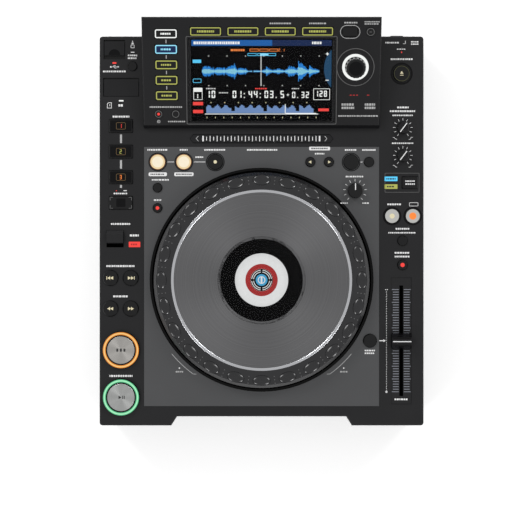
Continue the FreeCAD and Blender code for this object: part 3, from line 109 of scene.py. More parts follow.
def noise(tree, scale, detail=4.0, rough=0.6):
    """Noise in object space; the scale counts features per millimetre."""
    coords = add_node(tree, "ShaderNodeTexCoord")
    texture = add_node(tree, "ShaderNodeTexNoise", Scale=scale / MM, Detail=detail, Roughness=rough)
    tree.links.new(coords.outputs["Object"], texture.inputs["Vector"])
    return texture.outputs["Fac"]


def spread(tree, source, low, high):
    """Map a 0 to 1 value on to a range."""
    node = add_node(tree, "ShaderNodeMapRange")
    node.inputs["To Min"].default_value = low
    node.inputs["To Max"].default_value = high
    tree.links.new(source, node.inputs["Value"])
    return node.outputs["Result"]


def tint(tree, source, first, second):
    node = add_node(tree, "ShaderNodeMix", data_type="RGBA")
    node.inputs["A"].default_value = (*first, 1)
    node.inputs["B"].default_value = (*second, 1)
    tree.links.new(source, node.inputs["Factor"])
    return node.outputs["Result"]


def grain(tree, shader, source, strength, distance):
    bump = add_node(tree, "ShaderNodeBump", Strength=strength, Distance=distance * MM)
    tree.links.new(source, bump.inputs["Height"])
    tree.links.new(bump.outputs["Normal"], shader.inputs["Normal"])


def shade(colour, factor):
    return tuple(min(1.0, channel * factor) for channel in colour)


def moulded(name, colour, rough, grain_size=0.35, strength=0.25, wear=0.12, sheen=0.5):
    """Moulded plastic or rubber: fine grain, slightly uneven colour and sheen."""
    material, tree, shader = new_material(name)
    fine = noise(tree, 1 / grain_size)
    broad = noise(tree, 0.03, 3.0)
    tree.links.new(tint(tree, broad, shade(colour, 1 - wear), shade(colour, 1 + wear)),
                   shader.inputs["Base Color"])
    tree.links.new(spread(tree, broad, rough * 0.88, min(1.0, rough * 1.12)), shader.inputs["Roughness"])
    if strength:
        grain(tree, shader, fine, strength, 0.05)
    shader.inputs["Specular IOR Level"].default_value = sheen
    return material


def ink(name, colour, rough=0.5, sheen=0.5):
    """Printed ink or smooth black plastic, with no grain."""
    return moulded(name, colour, rough, 0.3, 0.0, sheen=sheen)


def spun_metal(name, colour, rough, pitch, centre, strength=0.3, streak=0.75):
    """Metal turned about a centre: fine rings that scatter light across them."""
    material, tree, shader = new_material(name)
    coords = add_node(tree, "ShaderNodeTexCoord")
    shift = add_node(tree, "ShaderNodeVectorMath", operation="SUBTRACT")
    shift.inputs[1].default_value = Vector(centre) * MM
    flat = add_node(tree, "ShaderNodeVectorMath", operation="MULTIPLY")
    flat.inputs[1].default_value = (1, 1, 0)
    length = add_node(tree, "ShaderNodeVectorMath", operation="LENGTH")
    rings = add_node(tree, "ShaderNodeTexNoise", noise_dimensions="1D", Scale=1 / (pitch * MM), Detail=3.0)
    tree.links.new(coords.outputs["Object"], shift.inputs[0])
    tree.links.new(shift.outputs["Vector"], flat.inputs[0])
    tree.links.new(flat.outputs["Vector"], length.inputs[0])
    tree.links.new(length.outputs["Value"], rings.inputs["W"])
    tree.links.new(tint(tree, rings.outputs["Fac"], shade(colour, 0.82), shade(colour, 1.18)),
                   shader.inputs["Base Color"])
    tree.links.new(spread(tree, rings.outputs["Fac"], rough * 0.8, rough * 1.2), shader.inputs["Roughness"])
    grain(tree, shader, rings.outputs["Fac"], strength, 0.02)
    along = add_node(tree, "ShaderNodeVectorMath", operation="CROSS_PRODUCT")
    along.inputs[1].default_value = (0, 0, 1)
    tree.links.new(flat.outputs["Vector"], along.inputs[0])
    unit = add_node(tree, "ShaderNodeVectorMath", operation="NORMALIZE")
    tree.links.new(along.outputs["Vector"], unit.inputs[0])
    tree.links.new(unit.outputs["Vector"], shader.inputs["Tangent"])
    shader.inputs["Anisotropic"].default_value = streak
    shader.inputs["Metallic"].default_value = 1.0
    return material


def sheet_metal(name, colour, rough, metallic=1.0, strength=0.15):
    """Bead-blasted or plated sheet with a fine even texture."""
    material, tree, shader = new_material(name)
    fine = noise(tree, 4.0)
    broad = noise(tree, 0.02, 2.0)
    tree.links.new(tint(tree, broad, shade(colour, 0.93), shade(colour, 1.07)), shader.inputs["Base Color"])
    tree.links.new(spread(tree, fine, rough * 0.85, rough * 1.15), shader.inputs["Roughness"])
    grain(tree, shader, fine, strength, 0.02)
    shader.inputs["Metallic"].default_value = metallic
    return material


def lit(name, colour, strength, rough=0.35, sheen=0.3):
    """Translucent plastic lit from behind, a little brighter in places."""
    material, tree, shader = new_material(name)
    cloud = noise(tree, 0.25, 2.0)
    glow = tint(tree, cloud, shade(colour, 0.92), shade(colour, 1.05))
    tree.links.new(glow, shader.inputs["Emission Color"])
    tree.links.new(tint(tree, cloud, shade(colour, 0.18), shade(colour, 0.21)), shader.inputs["Base Color"])
    shader.inputs["Emission Strength"].default_value = strength
    shader.inputs["Roughness"].default_value = rough
    shader.inputs["Specular IOR Level"].default_value = sheen
    return material


def clear_cover(name, veil):
    """Thin clear plastic: mostly see-through, with a faint veil and a gloss."""
    material, tree, shader = new_material(name)
    smear = noise(tree, 0.05, 3.0)
    tree.links.new(spread(tree, smear, 0.04, 0.09), shader.inputs["Roughness"])
    shader.inputs["Base Color"].default_value = (0.01, 0.01, 0.012, 1)
    shader.inputs["Alpha"].default_value = veil
    return material


BLACK_CASE = (0.0085, 0.0085, 0.0095)
M = {
    "case": moulded("case_plastic", BLACK_CASE, 0.5, 0.5, 0.3, sheen=0.32),
    "head": moulded("head_plastic", (0.0065, 0.0065, 0.0075), 0.34, 0.4, 0.08, sheen=0.35),
    "key": moulded("key_plastic", (0.004, 0.004, 0.0045), 0.2, 0.5, 0.04, sheen=0.4),
    "gloss": moulded("gloss_black", (0.002, 0.002, 0.0025), 0.12, 0.8, 0.02, sheen=0.2),
    "wheel": moulded("wheel_plastic", (0.012, 0.012, 0.0135), 0.2, 0.6, 0.03, sheen=0.7),
    "well": moulded("well_plastic", (0.002, 0.002, 0.0022), 0.45, 0.5, 0.2, sheen=0.15),
    "rubber": moulded("foot_rubber", (0.012, 0.012, 0.012), 0.85, 0.3, 0.4),
    "coated": moulded("coated_steel", (0.014, 0.014, 0.015), 0.5, 0.25, 0.3),
    "white_gear": moulded("gear_plastic", (0.72, 0.72, 0.68), 0.4, 0.5, 0.1),
    "board": moulded("board_lacquer", (0.012, 0.09, 0.035), 0.35, 0.4, 0.1),
    "print": ink("grey_print", (0.42, 0.42, 0.42)),
    "print_white": ink("white_print", (0.78, 0.78, 0.78)),
    "print_dim": ink("dim_print", (0.12, 0.12, 0.12)),
    "cream": ink("cream_print", (0.75, 0.68, 0.45)),
    "plate": sheet_metal("deck_sheet", (0.082, 0.083, 0.086), 0.45, 0.4),
    "plated": sheet_metal("plated_sheet", (0.55, 0.55, 0.56), 0.35),
    "jog_plate": spun_metal("spun_plate", (0.2, 0.2, 0.205), 0.4, 0.9, (0, JOG.y, 0), 0.15, streak=0.6),
    "trim": sheet_metal("polished_trim", (0.8, 0.81, 0.84), 0.2, 1.0, 0.02),
    "glass": clear_cover("clear_cover", 0.06),
    "screw": sheet_metal("screw_steel", (0.16, 0.16, 0.165), 0.35),
    "print_dark": ink("dark_print", (0.02, 0.02, 0.02)),
    "plate_ink": ink("plate_ink", (0.07, 0.07, 0.075)),
    "dark_olive": ink("olive_rim", (0.06, 0.06, 0.02), 0.3),
    "cue_button_metal": spun_metal("cue_metal", (0.62, 0.6, 0.57), 0.3, 0.35, centre_of("cue_button"), 0.2),
    "play_button_metal": spun_metal("play_metal", (0.6, 0.61, 0.6), 0.3, 0.35, centre_of("play_button"), 0.2),
    "pad_glow": lit("pad_glow", (0.22, 0.14, 0.06), 0.6),
    "peach_lit": lit("peach_light", (0.95, 0.85, 0.66), 0.8),
    "amber_lit_core": lit("amber_core", (0.95, 0.6, 0.22), 0.8),
    "green_lit_core": lit("green_core", (0.42, 0.9, 0.55), 0.8),
    "navy": lit("navy_light", (0.004, 0.02, 0.09), 0.7),
    "wave_blue": lit("wave_light", (0.02, 0.28, 0.85), 0.9),
    "slate_lit": lit("slate_light", (0.16, 0.28, 0.55), 0.8),
    "cream_lit": lit("cream_light", (0.85, 0.8, 0.5), 0.7),
    "lens_blue": lit("lens_light", (0.01, 0.07, 0.16), 0.7),
    "white_lit": lit("white_light", (0.9, 0.92, 0.9), 0.9),
    "warm_lit": lit("warm_white_light", (0.9, 0.72, 0.42), 0.75),
    "amber_lit": lit("amber_light", (0.8, 0.27, 0.03), 0.8),
    "green_lit": lit("green_light", (0.12, 0.62, 0.3), 0.7),
    "lime_lit": lit("lime_light", (0.5, 0.52, 0.12), 0.7),
    "red_lit": lit("red_light", (0.9, 0.06, 0.05), 0.9),
    "orange_lit": lit("orange_light", (0.95, 0.25, 0.05), 0.9),
    "cyan_lit": lit("cyan_light", (0.1, 0.6, 0.95), 0.9),
    "blue_lit": lit("blue_light", (0.01, 0.12, 0.42), 0.8),
    "sky_lit": lit("sky_light", (0.3, 0.75, 0.95), 0.9),
    "key_grey_lit": lit("key_grey_light", (0.5, 0.5, 0.48), 0.75),
    "screen": lit("screen_black", (0.001, 0.001, 0.0015), 0.2, 0.3, 0.05),
    "dial": lit("dial_white", (0.78, 0.79, 0.79), 0.85, 0.5),
    "dial_red": ink("dial_red", (0.42, 0.014, 0.014)),
    "dial_blue": lit("dial_blue", (0.06, 0.36, 0.62), 0.85, 0.5),
    "dial_black": ink("dial_black", (0.001, 0.001, 0.001), sheen=0.05),
    "orange_rim": lit("orange_rim", (0.5, 0.16, 0.03), 0.5),
    "slot_black": ink("slot_black", (0.0015, 0.0015, 0.0015), 0.6, 0.1),
    "scale_line": ink("scale_line", (0.2, 0.21, 0.24)),
}


def dress(node, material):
    mesh = bpy.data.objects[node].data
    mesh.materials.clear()
    mesh.materials.append(M[material])


# Mesh building

def finish_piece(name, verts, faces, body, material, smooth=False, place=FLAT):
    mesh = bpy.data.meshes.new(name)
    mesh.from_pydata([place @ Vector(vert) * MM for vert in verts], [], faces)
    mesh.validate()
    mesh.materials.append(M[material])
    piece = bpy.data.objects.new(name, mesh)
    bpy.context.scene.collection.objects.link(piece)
    if smooth:
        mesh.shade_smooth()
        mesh.set_sharp_from_angle(angle=math.radians(35))
    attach(piece, body)
    return piece


def lathe(name, profile, centre, body, material, place=FLAT, steps=96, closed=False):
    """Turn a list of (radius, height) points about a centre."""
    verts = []
    for step in range(steps):
        turn = 2 * math.pi * step / steps
        for radius, height in profile:
            verts.append((centre[0] + radius * math.cos(turn), centre[1] + radius * math.sin(turn), height))
    count = len(profile)
    spans = count if closed else count - 1
    faces = []
    for step in range(steps):
        following = (step + 1) % steps
        for row in range(spans):
            above = (row + 1) % count
            faces.append((step * count + row, following * count + row, following * count + above,
                          step * count + above))
    return finish_piece(name, verts, faces, body, material, True, place)


# Flat shapes are lists of rings of points: the first is the outline, a second is its hole.

def disc(x, y, radius, steps=ROUND_STEPS):
    turns = [2 * math.pi * step / steps for step in range(steps)]
    return [[(x + radius * math.cos(turn), y + radius * math.sin(turn)) for turn in turns]]


def ring(x, y, outer, inner, steps=ROUND_STEPS):
    return disc(x, y, outer, steps) + disc(x, y, inner, steps)


def slab(x, y, width, height, radius=0.0, steps=6):
    """Rectangle with rounded corners."""
    radius = min(radius, width / 2 - 1e-4, height / 2 - 1e-4)
    if radius <= 0:
        return [[(x - width / 2, y - height / 2), (x + width / 2, y - height / 2),
                 (x + width / 2, y + height / 2), (x - width / 2, y + height / 2)]]
    points = []
    for corner, (side, end) in enumerate(((1, 1), (-1, 1), (-1, -1), (1, -1))):
        for step in range(steps + 1):
            turn = math.pi / 2 * (corner + step / steps)
            points.append((x + side * (width / 2 - radius) + radius * math.cos(turn),
                           y + end * (height / 2 - radius) + radius * math.sin(turn)))
    return [points]


def frame_of(x, y, width, height, line, radius=1.0):
    """Rounded outline of a given line width."""
    return slab(x, y, width, height, radius) + slab(x, y, width - 2 * line, height - 2 * line,
                                                    max(radius - line, 0.05))


def stroke(points, width):
    """A line of even width through some points."""
    left, right = [], []
    for index, point in enumerate(points):
        before = Vector(points[max(index - 1, 0)])
        after = Vector(points[min(index + 1, len(points) - 1)])
        along = (after - before).normalized()
        across = Vector((-along.y, along.x)) * width / 2
        left.append(tuple(Vector(point) + across))
        right.append(tuple(Vector(point) - across))
    return [right + left[::-1]]


def arc_points(x, y, radius, start, end, steps=24):
    """Points along an arc; angles in degrees, counter-clockwise from +X."""
    turns = [math.radians(start + (end - start) * step / steps) for step in range(steps + 1)]
    return [(x + radius * math.cos(turn), y + radius * math.sin(turn)) for turn in turns]


def triangle(x, y, size, pointing):
    """Equal-sided triangle; pointing is an angle in degrees."""
    turns = [math.radians(pointing + turn) for turn in (0, 120, 240)]
    return [[(x + size * math.cos(turn), y + size * math.sin(turn)) for turn in turns]]


def printed(name, shapes, body, material, place, thickness=PRINT_THICKNESS):
    """Thin raised shapes on a surface: print, icons, light windows."""
    verts, faces = [], []
    for shape in shapes:
        outline = shape[0]
        count = len(outline)
        base = len(verts)
        if len(shape) == 1:
            verts += [(x, y, thickness) for x, y in outline] + [(x, y, 0) for x, y in outline]
            faces.append(tuple(range(base, base + count)))
            for index in range(count):
                following = (index + 1) % count
                faces.append((base + following, base + index, base + count + index, base + count + following))
        else:
            for loop in shape:
                verts += [(x, y, thickness) for x, y in loop] + [(x, y, 0) for x, y in loop]
            inner = base + 2 * count
            for index in range(count):
                following = (index + 1) % count
                faces.append((base + index, base + following, inner + following, inner + index))
                faces.append((base + following, base + index, base + count + index, base + count + following))
                faces.append((inner + index, inner + following,
                              inner + count + following, inner + count + index))
    return finish_piece(name, verts, faces, body, material, False, place)


# Bars of each numeral: a at the top, then clockwise to f, with g in the middle.
SEGMENTS = {"0": "abcdef", "1": "bc", "2": "abged", "3": "abgcd", "4": "fgbc", "5": "afgcd",
            "6": "afgedc", "7": "abc", "8": "abcdefg", "9": "abcdfg"}


def digits(text, x, y, height, pitch=0.72, line=0.13):
    """Plain seven-segment numbers, from their lower left corner."""
    shapes = []
    width = height * 0.5
    bar = height * line
    for place, sign in enumerate(text):
        left = x + place * height * pitch
        if sign in ".:":
            shapes.append(slab(left + bar, y + bar / 2, bar, bar))
            if sign == ":":
                shapes.append(slab(left + bar, y + height * 0.6, bar, bar))
            continue
        for segment in SEGMENTS[sign]:
            if segment in "agd":
                level_y = {"a": height - bar / 2, "g": height / 2, "d": bar / 2}[segment]
                shapes.append(slab(left + width / 2, y + level_y, width * 0.8, bar))
            else:
                side = left + (width - bar / 2 if segment in "bc" else bar / 2)
                middle = y + height * (0.75 if segment in "bf" else 0.25)
                shapes.append(slab(side, middle, bar, height * 0.4))
    return shapes


def lines_of_print(x, y, width, rows=1, height=1.5, pitch=2.6):
    """Plain dashes where the real panel carries small lettering."""
    maker = random.Random(int(abs(x) * 31 + abs(y) * 7 + width))
    shapes = []
    for row in range(rows):
        start = x - width / 2
        while start < x + width / 2 - 0.8:
            dash = min(maker.uniform(0.9, 2.2), x + width / 2 - start)
            shapes.append(slab(start + dash / 2, y - row * pitch, dash, height, 0.2, 2))
            start += dash + 0.5
    return shapes


def label_rows(*rows):
    """Rows of dashes, each given by its middle, width and height."""
    return [dash for x, y, width, height in rows for dash in lines_of_print(x, y, width, height=height)]


# CAD nodes

BUTTON_NODES = ["loop_in_button", "loop_out_button", "reloop_button", "loop_mode_button", "slip_button",
                "delete_button", "memory_button", "reset_button", "usb_stop_button", "track_back_button",
                "track_next_button", "search_back_button", "search_next_button", "eject_button",
                "sync_button", "master_button", "range_button", "tempo_hold_button", "call_keys",
                "hot_cue_button_1", "hot_cue_button_2", "hot_cue_button_3", "record_button",
                "jog_mode_button", "source_keys", "menu_keys", "back_tag_keys"]
FINISHES = {
    "case": ["top_case", "direction_lever"],
    "well": ["jog_base"],
    "head": ["head_housing", "needle_strip", "usb_cover", "card_door"],
    "coated": ["chassis_tray", "rear_panel", "power_button"],
    "rubber": ["feet"],
    "plate": ["deck_plate"],
    "wheel": ["jog_wheel"],
    "jog_plate": ["jog_plate"],
    "glass": ["display_glass", "jog_window"],
    "dial": ["jog_display"],
    "screen": ["lcd_module"],
    "plated": ["drive_frame", "spindle_hub", "optical_pickup", "rear_connectors"],
    "slot_black": ["fader_unit"],
    "board": ["circuit_boards"],
    "white_gear": ["encoder_pinion"],
    "key": BUTTON_NODES + ["fader_cap", "media_sockets", "brake_knob", "release_knob", "jog_adjust_knob",
                           "selector_knob", "cue_button", "play_button"],
}
for material, nodes in FINISHES.items():
    for node in nodes:
        dress(node, material)


# Jog wheel

DIMPLES = 24
DIMPLE_RADIUS = 95.3
WHEEL_TOP = top_of("jog_wheel")


def on_dial(name, shapes, material, thickness=PRINT_THICKNESS):
    printed(name, shapes, "deck", material, level(top_of("jog_display")), thickness)


def dress_jog():
    """Bright trim ring, dots between the dimples, and a plain ring motif on the dial."""
    centre = (JOG.x, JOG.y)
    trim_radius, trim_half_width, trim_rise, steps = 84.85, 1.45, 0.5, 12
    profile = [(trim_radius - trim_half_width * math.cos(math.pi * step / steps),
                WHEEL_TOP - 0.35 + trim_rise * math.sin(math.pi * step / steps)) for step in range(steps + 1)]
    lathe("jog_trim", profile, centre, "jog_wheel", "trim", steps=192, closed=True)
    dots = []
    for number in range(DIMPLES):
        turn = 2 * math.pi * (number + 0.5) / DIMPLES
        for radius in (DIMPLE_RADIUS - 3.2, DIMPLE_RADIUS, DIMPLE_RADIUS + 3.2):
            dots.append(disc(JOG.x + radius * math.cos(turn), JOG.y + radius * math.sin(turn), 0.45, 10))
    printed("wheel_dots", dots, "jog_wheel", "print_dim", level(WHEEL_TOP))
    under_glass = node_box("jog_window")[0].z - 0.3
    printed("window_mask", [ring(*centre, 41.5, 25.6, 96)], "jog_plate", "dial_black",
            level(under_glass))
    quarters = [stroke(arc_points(*centre, radius, turn + 6, turn + 84), 0.7)
                for radius in (9.4, 7.6) for turn in (0, 90, 180, 270)]
    on_dial("dial_red_ring", [ring(*centre, 15.4, 10.7, 64)], "dial_red")
    on_dial("dial_dark_centre", [disc(*centre, 10.6, 64)], "dial_black", 0.05)
    on_dial("dial_rings", quarters, "dial", 0.12)
    on_dial("dial_blue_centre", [disc(*centre, 5.6, 48)], "dial_blue", 0.16)
    on_dial("dial_centre_mark", [slab(*centre, 1.6, 6.4, 0.8), ring(*centre, 3.6, 2.8, 32)], "dial", 0.2)


dress_jog()


# Printed labels, icons and lit windows

def on_key(node, height=0.0):
    """A drawing plane on top of a key, with its middle as the origin."""
    middle = centre_of(node)
    return Matrix.Translation((middle.x, middle.y, top_of(node) + height))


def mark_key(name, node, shapes, material, height=0.0, thickness=PRINT_THICKNESS):
    """Print or a lit window on top of a key, moving with it."""
    printed(name, shapes, node, material, on_key(node, height), thickness)


def on_deck(name, shapes, material="print"):
    printed(name, shapes, "deck", material, level(DECK_TOP))


def on_plate(name, shapes, material="print"):
    printed(name, shapes, "deck", material, level(PLATE_TOP))


def on_face(name, shapes, material="print"):
    printed(name, shapes, "deck", material, on_head())


def plug_icon(x, y):
    """A memory stick: body, neck and a lead."""
    return [frame_of(x, y - 1.2, 3.6, 3.2, 0.5, 0.5), slab(x, y + 1.6, 2.0, 1.6), slab(x, y + 3.4, 0.6, 1.6)]


def fork_icon(x, y):
    """A bar with two short branches and a round end."""
    return [slab(x, y, 6.6, 0.5), disc(x - 3.3, y, 0.9, 16), triangle(x + 3.6, y, 1.0, 0),
            stroke([(x - 1.4, y), (x - 0.2, y + 1.3), (x + 1.2, y + 1.3)], 0.45),
            stroke([(x - 0.4, y), (x + 0.6, y - 1.2), (x + 1.8, y - 1.2)], 0.45)]


def card_icon(x, y):
    """A memory card with one cut corner."""
    outline = [(-2.2, -2.8), (2.2, -2.8), (2.2, 2.8), (-1.0, 2.8), (-2.2, 1.6)]
    inner = [(-1.7, -2.3), (1.7, -2.3), (1.7, 2.3), (-0.8, 2.3), (-1.7, 1.4)]
    card = [[(x + across, y + along) for across, along in loop] for loop in (outline, inner)]
    return [card, slab(x + 0.3, y + 0.2, 0.5, 1.6)]


def ticks_around(x, y, inner, outer, start, end, count, width=0.45):
    """Short lines about a knob; angles count clockwise from the rear."""
    shapes = []
    for number in range(count):
        turn = math.radians(90 - start - (end - start) * number / (count - 1))
        ends = [(x + reach * math.cos(turn), y + reach * math.sin(turn)) for reach in (inner, outer)]
        shapes.append(stroke(ends, width))
    return shapes


def dress_left_strip():
    """Labels, lamps and links on the strip left of the deck plate."""
    usb = centre_of("usb_cover")
    card = centre_of("card_door")
    stop = centre_of("usb_stop_button")
    pads = [centre_of(node) for node in ("hot_cue_button_1", "hot_cue_button_2", "hot_cue_button_3",
                                         "record_button")]
    lever = centre_of("direction_lever")
    labels = lines_of_print(usb.x, usb.y - 22.0, 22, height=1.6)
    labels += fork_icon(usb.x, usb.y - 17.6)
    labels += plug_icon(stop.x, stop.y + 20.2)
    labels += [slab(stop.x, stop.y + 13.4, 3.4, 0.9)]
    labels += lines_of_print(stop.x, stop.y + 10.4, 9, rows=2, pitch=2.7)
    labels += card_icon(card.x - 11.3, card.y - 16.9)
    labels += label_rows((card.x, card.y - 16.9, 5.2, 2.2), (pads[0].x, pads[0].y + 9.0, 16, 1.7),
                         (pads[3].x, pads[3].y + 8.9, 14, 1.4))
    labels += [slab(pads[3].x + 4.0, pads[3].y + 11.6, 3.2, 0.8)]
    labels += label_rows((lever.x + 5.5, lever.y + 12.6, 19, 1.7), (lever.x + 18.4, lever.y + 1.6, 8.5, 1.9),
                         (pads[0].x, -40.8, 28, 1.8), (pads[0].x, -69.8, 15, 1.8),
                         (pads[0].x, -146.0, 22, 1.8))
    on_deck("left_labels", labels, "print_white")
    lamps = [slab(usb.x, usb.y - 13.9, 3.8, 1.6, 0.4), slab(pads[3].x - 4.4, pads[3].y + 11.6, 0.8, 0.8)]
    on_deck("left_lamps", lamps, "red_lit")
    on_deck("card_lamp", [slab(card.x, card.y - 12.5, 4.4, 1.3, 0.3)], "white_lit")
    links = []
    for upper, lower, length, shift in zip(pads, pads[1:], (8.2, 8.2, 2.8), (0, 0, 3.4)):
        links.append(slab(upper.x, (upper.y + lower.y) / 2 + shift, 1.9, length, 0.3))
    on_deck("pad_links", links, "print")
    window = (lever.x + 18.6, lever.y - 7.0)
    on_deck("reverse_window", [slab(*window, 11.0, 5.2, 0.4)], "red_lit")
    printed("reverse_label", lines_of_print(*window, 7, height=1.7), "deck", "dial_red",
            level(DECK_TOP + PRINT_THICKNESS), OVERPRINT)


PAD_COLOURS = ("red_lit", "lime_lit", "orange_lit")


def dress_pads():
    """Dark glossy pads with a lit numeral each and a smaller lens in the record pad."""
    for number, colour in enumerate(PAD_COLOURS, start=1):
        node = f"hot_cue_button_{number}"
        mark_key(node + "_lens", node, [slab(0, 0, 20.4, 10.6, 0.8)], "gloss")
        glow = frame_of(0, 0, 9.0, 6.6, 0.35, 1.2)
        mark_key(node + "_glow", node, [glow], "pad_glow", height=PRINT_THICKNESS, thickness=OVERPRINT)
        numeral = digits(str(number), -1.2, -2.0, 4.0)
        mark_key(node + "_numeral", node, numeral, colour, height=PRINT_THICKNESS)
    corners = [stroke([(side * 10.2, end * 2.4), (side * 10.2, end * 5.2), (side * 7.6, end * 5.2)], 0.5)
               for side in (-1, 1) for end in (-1, 1)]
    mark_key("record_corners", "record_button", corners, "print_dim")
    mark_key("record_lens", "record_button", [slab(0, 0, 8.7, 8.0, 0.8)], "gloss", thickness=0.2)


def dress_round_keys():
    """Icons, lit faces and rims on the round keys."""
    for node, pointing in (("track_back_button", 180), ("search_back_button", 180),
                           ("track_next_button", 0), ("search_next_button", 0)):
        side = -1 if pointing else 1
        icon = [triangle(side * shift, 0, 1.9, pointing) for shift in (-1.7, 1.2)]
        if node.startswith("track"):
            icon.append(slab(side * 3.5, 0, 0.6, 3.2))
        mark_key(node + "_icon", node, icon, "cream")
    mark_key("eject_icon", "eject_button", [triangle(0, 0.6, 1.8, 90), slab(0, -1.7, 3.2, 0.6)], "cream")
    mark_key("eject_rim", "eject_button", [ring(0, 0, 7.4, 6.9)], "dark_olive")
    for node in ("sync_button", "master_button"):
        mark_key(node + "_face", node, [disc(0, 0, 6.6)], "key_grey_lit")
    mark_key("master_centre", "master_button", [disc(0, 0, 3.4)], "orange_lit",
             PRINT_THICKNESS, OVERPRINT)
    mark_key("sync_centre", "sync_button", [disc(0, 0, 2.4)], "cream", PRINT_THICKNESS, OVERPRINT)
    mark_key("tempo_hold_face", "tempo_hold_button", [disc(0, 0, 2.0, 24)], "red_lit")
    mark_key("slip_face", "slip_button", [disc(0, 0, 1.7, 24)], "red_lit")
    for node in ("loop_in_button", "loop_out_button"):
        mark_key(node + "_face", node, [disc(0, 0, 6.9)], "warm_lit")
        mark_key(node + "_middle", node, [disc(0, 0, 5.2)], "peach_lit",
                 PRINT_THICKNESS, OVERPRINT)
        mark_key(node + "_rim", node, [ring(0, 0, 7.3, 6.9)], "orange_rim")
    mark_key("reloop_dot", "reloop_button", [disc(0, 0, 1.6, 24)], "cream")
    middles = [centre_of(f"{name}_button") for name in ("loop_in", "loop_out", "reloop", "delete")]
    on_plate("key_rims", [ring(middle.x, middle.y, 8.9, 8.1) for middle in middles], "gloss")


def dress_transport():
    """Spun faces in lit rings on the two large keys."""
    ring_outer, ring_inner, ring_rise, face = 17.2, 14.5, 0.15, 13.3
    for node, glow in (("cue_button", "amber_lit"), ("play_button", "green_lit")):
        mark_key(node + "_ring", node, [ring(0, 0, ring_outer, ring_inner, 96)], glow,
                 thickness=ring_rise)
        mark_key(node + "_core", node, [ring(0, 0, ring_outer - 0.7, ring_inner + 0.8, 96)], glow + "_core",
                 ring_rise)
        low = top_of(node) - 0.42
        middle = centre_of(node)
        lathe(node + "_face", [(0.01, low + 0.08), (face * 0.5, low + 0.25), (face - 0.4, low + 0.47),
                               (face, low + 0.2)],
              (middle.x, middle.y), node, node + "_metal", steps=96)
    cue = [slab(x, 0, 1.9, 3.0, 0.5) for x in (-3.4, 0, 3.4)]
    mark_key("cue_icon", "cue_button", cue, "print_dark", -0.35, 0.16)
    play = [triangle(-1.4, 0, 1.9, 0), slab(1.6, 0, 0.8, 3.2), slab(3.1, 0, 0.8, 3.2)]
    mark_key("play_icon", "play_button", play, "print_dark", -0.35, 0.16)


def dress_knobs():
    """Pointer lines on the three knobs, with scales about them."""
    arc = ((-9.5, 1.6), (-8, 1.2), (-7, 0), (-5.6, -0.4)), ((5.6, -0.4), (7.0, -0.4), (8.0, 1.6), (9.5, 1.6))
    for node in ("brake_knob", "release_knob"):
        middle = centre_of(node)
        turn = math.radians(90 - 37)
        tip = (5.3 * math.cos(turn), 5.3 * math.sin(turn))
        mark_key(node + "_line", node, [stroke([(-tip[0], -tip[1]), tip], 0.9)], "print_white")
        on_deck(node + "_scale", ticks_around(middle.x, middle.y, 7.1, 9.3, -145, 145, 11), "print_white")
        curves = [stroke([(middle.x + x, middle.y - 10.6 + y) for x, y in points], 0.45) for points in arc]
        on_deck(node + "_curves", curves, "print_white")
    mark_key("adjust_line", "jog_adjust_knob", [slab(0, 3.9, 0.9, 6.4)], "print_white")
    middle = centre_of("jog_adjust_knob")
    on_plate("adjust_scale", ticks_around(middle.x, middle.y, 8.9, 11.2, -140, 140, 11), "print_white")


def dress_right_strip():
    """Labels, lamps and key surrounds on the strip right of the deck plate."""
    eject = centre_of("eject_button")
    brake = centre_of("brake_knob")
    release = centre_of("release_knob")
    sync = centre_of("sync_button")
    master = centre_of("master_button")
    tempo_range = centre_of("range_button")
    hold = centre_of("tempo_hold_button")
    labels = lines_of_print(eject.x - 9, eject.y + 29.6, 13, height=1.5)
    labels += [stroke([(eject.x + 1.5, eject.y + 28.6), (eject.x + 3.6, eject.y + 28.6),
                       (eject.x + 3.6, eject.y + 31.4)], 0.5)]
    labels += lines_of_print(eject.x + 12.5, eject.y + 30.4, 7, rows=2, height=1.2, pitch=2.2)
    labels += label_rows((eject.x, eject.y + 23.4, 9, 1.0), (eject.x, eject.y + 13.8, 21, 1.6),
                         (brake.x, brake.y + 19.6, 11, 1.6), (brake.x, brake.y + 16.0, 25, 1.6),
                         (brake.x, brake.y + 12.0, 20, 1.3), (release.x, release.y + 12.0, 21, 1.3),
                         (sync.x + 2.5, sync.y + 11.2, 14, 1.6))
    labels += [frame_of(master.x + 1, master.y + 11.2, 8.6, 3.6, 0.4, 0.8)]
    labels += label_rows((tempo_range.x, tempo_range.y + 11.4, 13, 1.6),
                         (tempo_range.x, tempo_range.y + 7.6, 27, 1.3))
    labels += lines_of_print(hold.x, hold.y + 11.6, 15, rows=2, height=1.6, pitch=3.6)
    labels += lines_of_print(centre_of("fader_cap").x, -168.4, 13, height=1.6)
    on_deck("mode_frame", [frame_of(134.5, 39.0, 33.0, 18.6, 0.35, 0.6)], "print_dim")
    on_deck("right_labels", labels, "print_white")
    on_deck("standby_lamp", [slab(eject.x, eject.y + 20.4, 0.9, 1.4, 0.3)], "red_lit")
    upper, lower = (123.9, 42.7), (123.9, 35.3)
    on_deck("vinyl_window", [slab(*upper, 12.4, 4.4, 0.4)], "cyan_lit")
    on_deck("jog_window_lamp", [slab(*lower, 12.4, 4.4, 0.4)], "lime_lit")
    printed("window_labels", lines_of_print(*upper, 9, height=1.4) + lines_of_print(*lower, 8, height=1.4),
            "deck", "print_dark", level(DECK_TOP + PRINT_THICKNESS), OVERPRINT)
    on_deck("eject_surround", [ring(eject.x, eject.y, 10.6, 9.0, 64)], "gloss")
    on_deck("sync_surrounds", [ring(key.x, key.y, 8.9, 7.8, 48) for key in (sync, master)], "gloss")
    mark_key("mode_label", "jog_mode_button", lines_of_print(0, 1.4, 9, rows=2, height=1.3, pitch=2.8),
             "print_white")


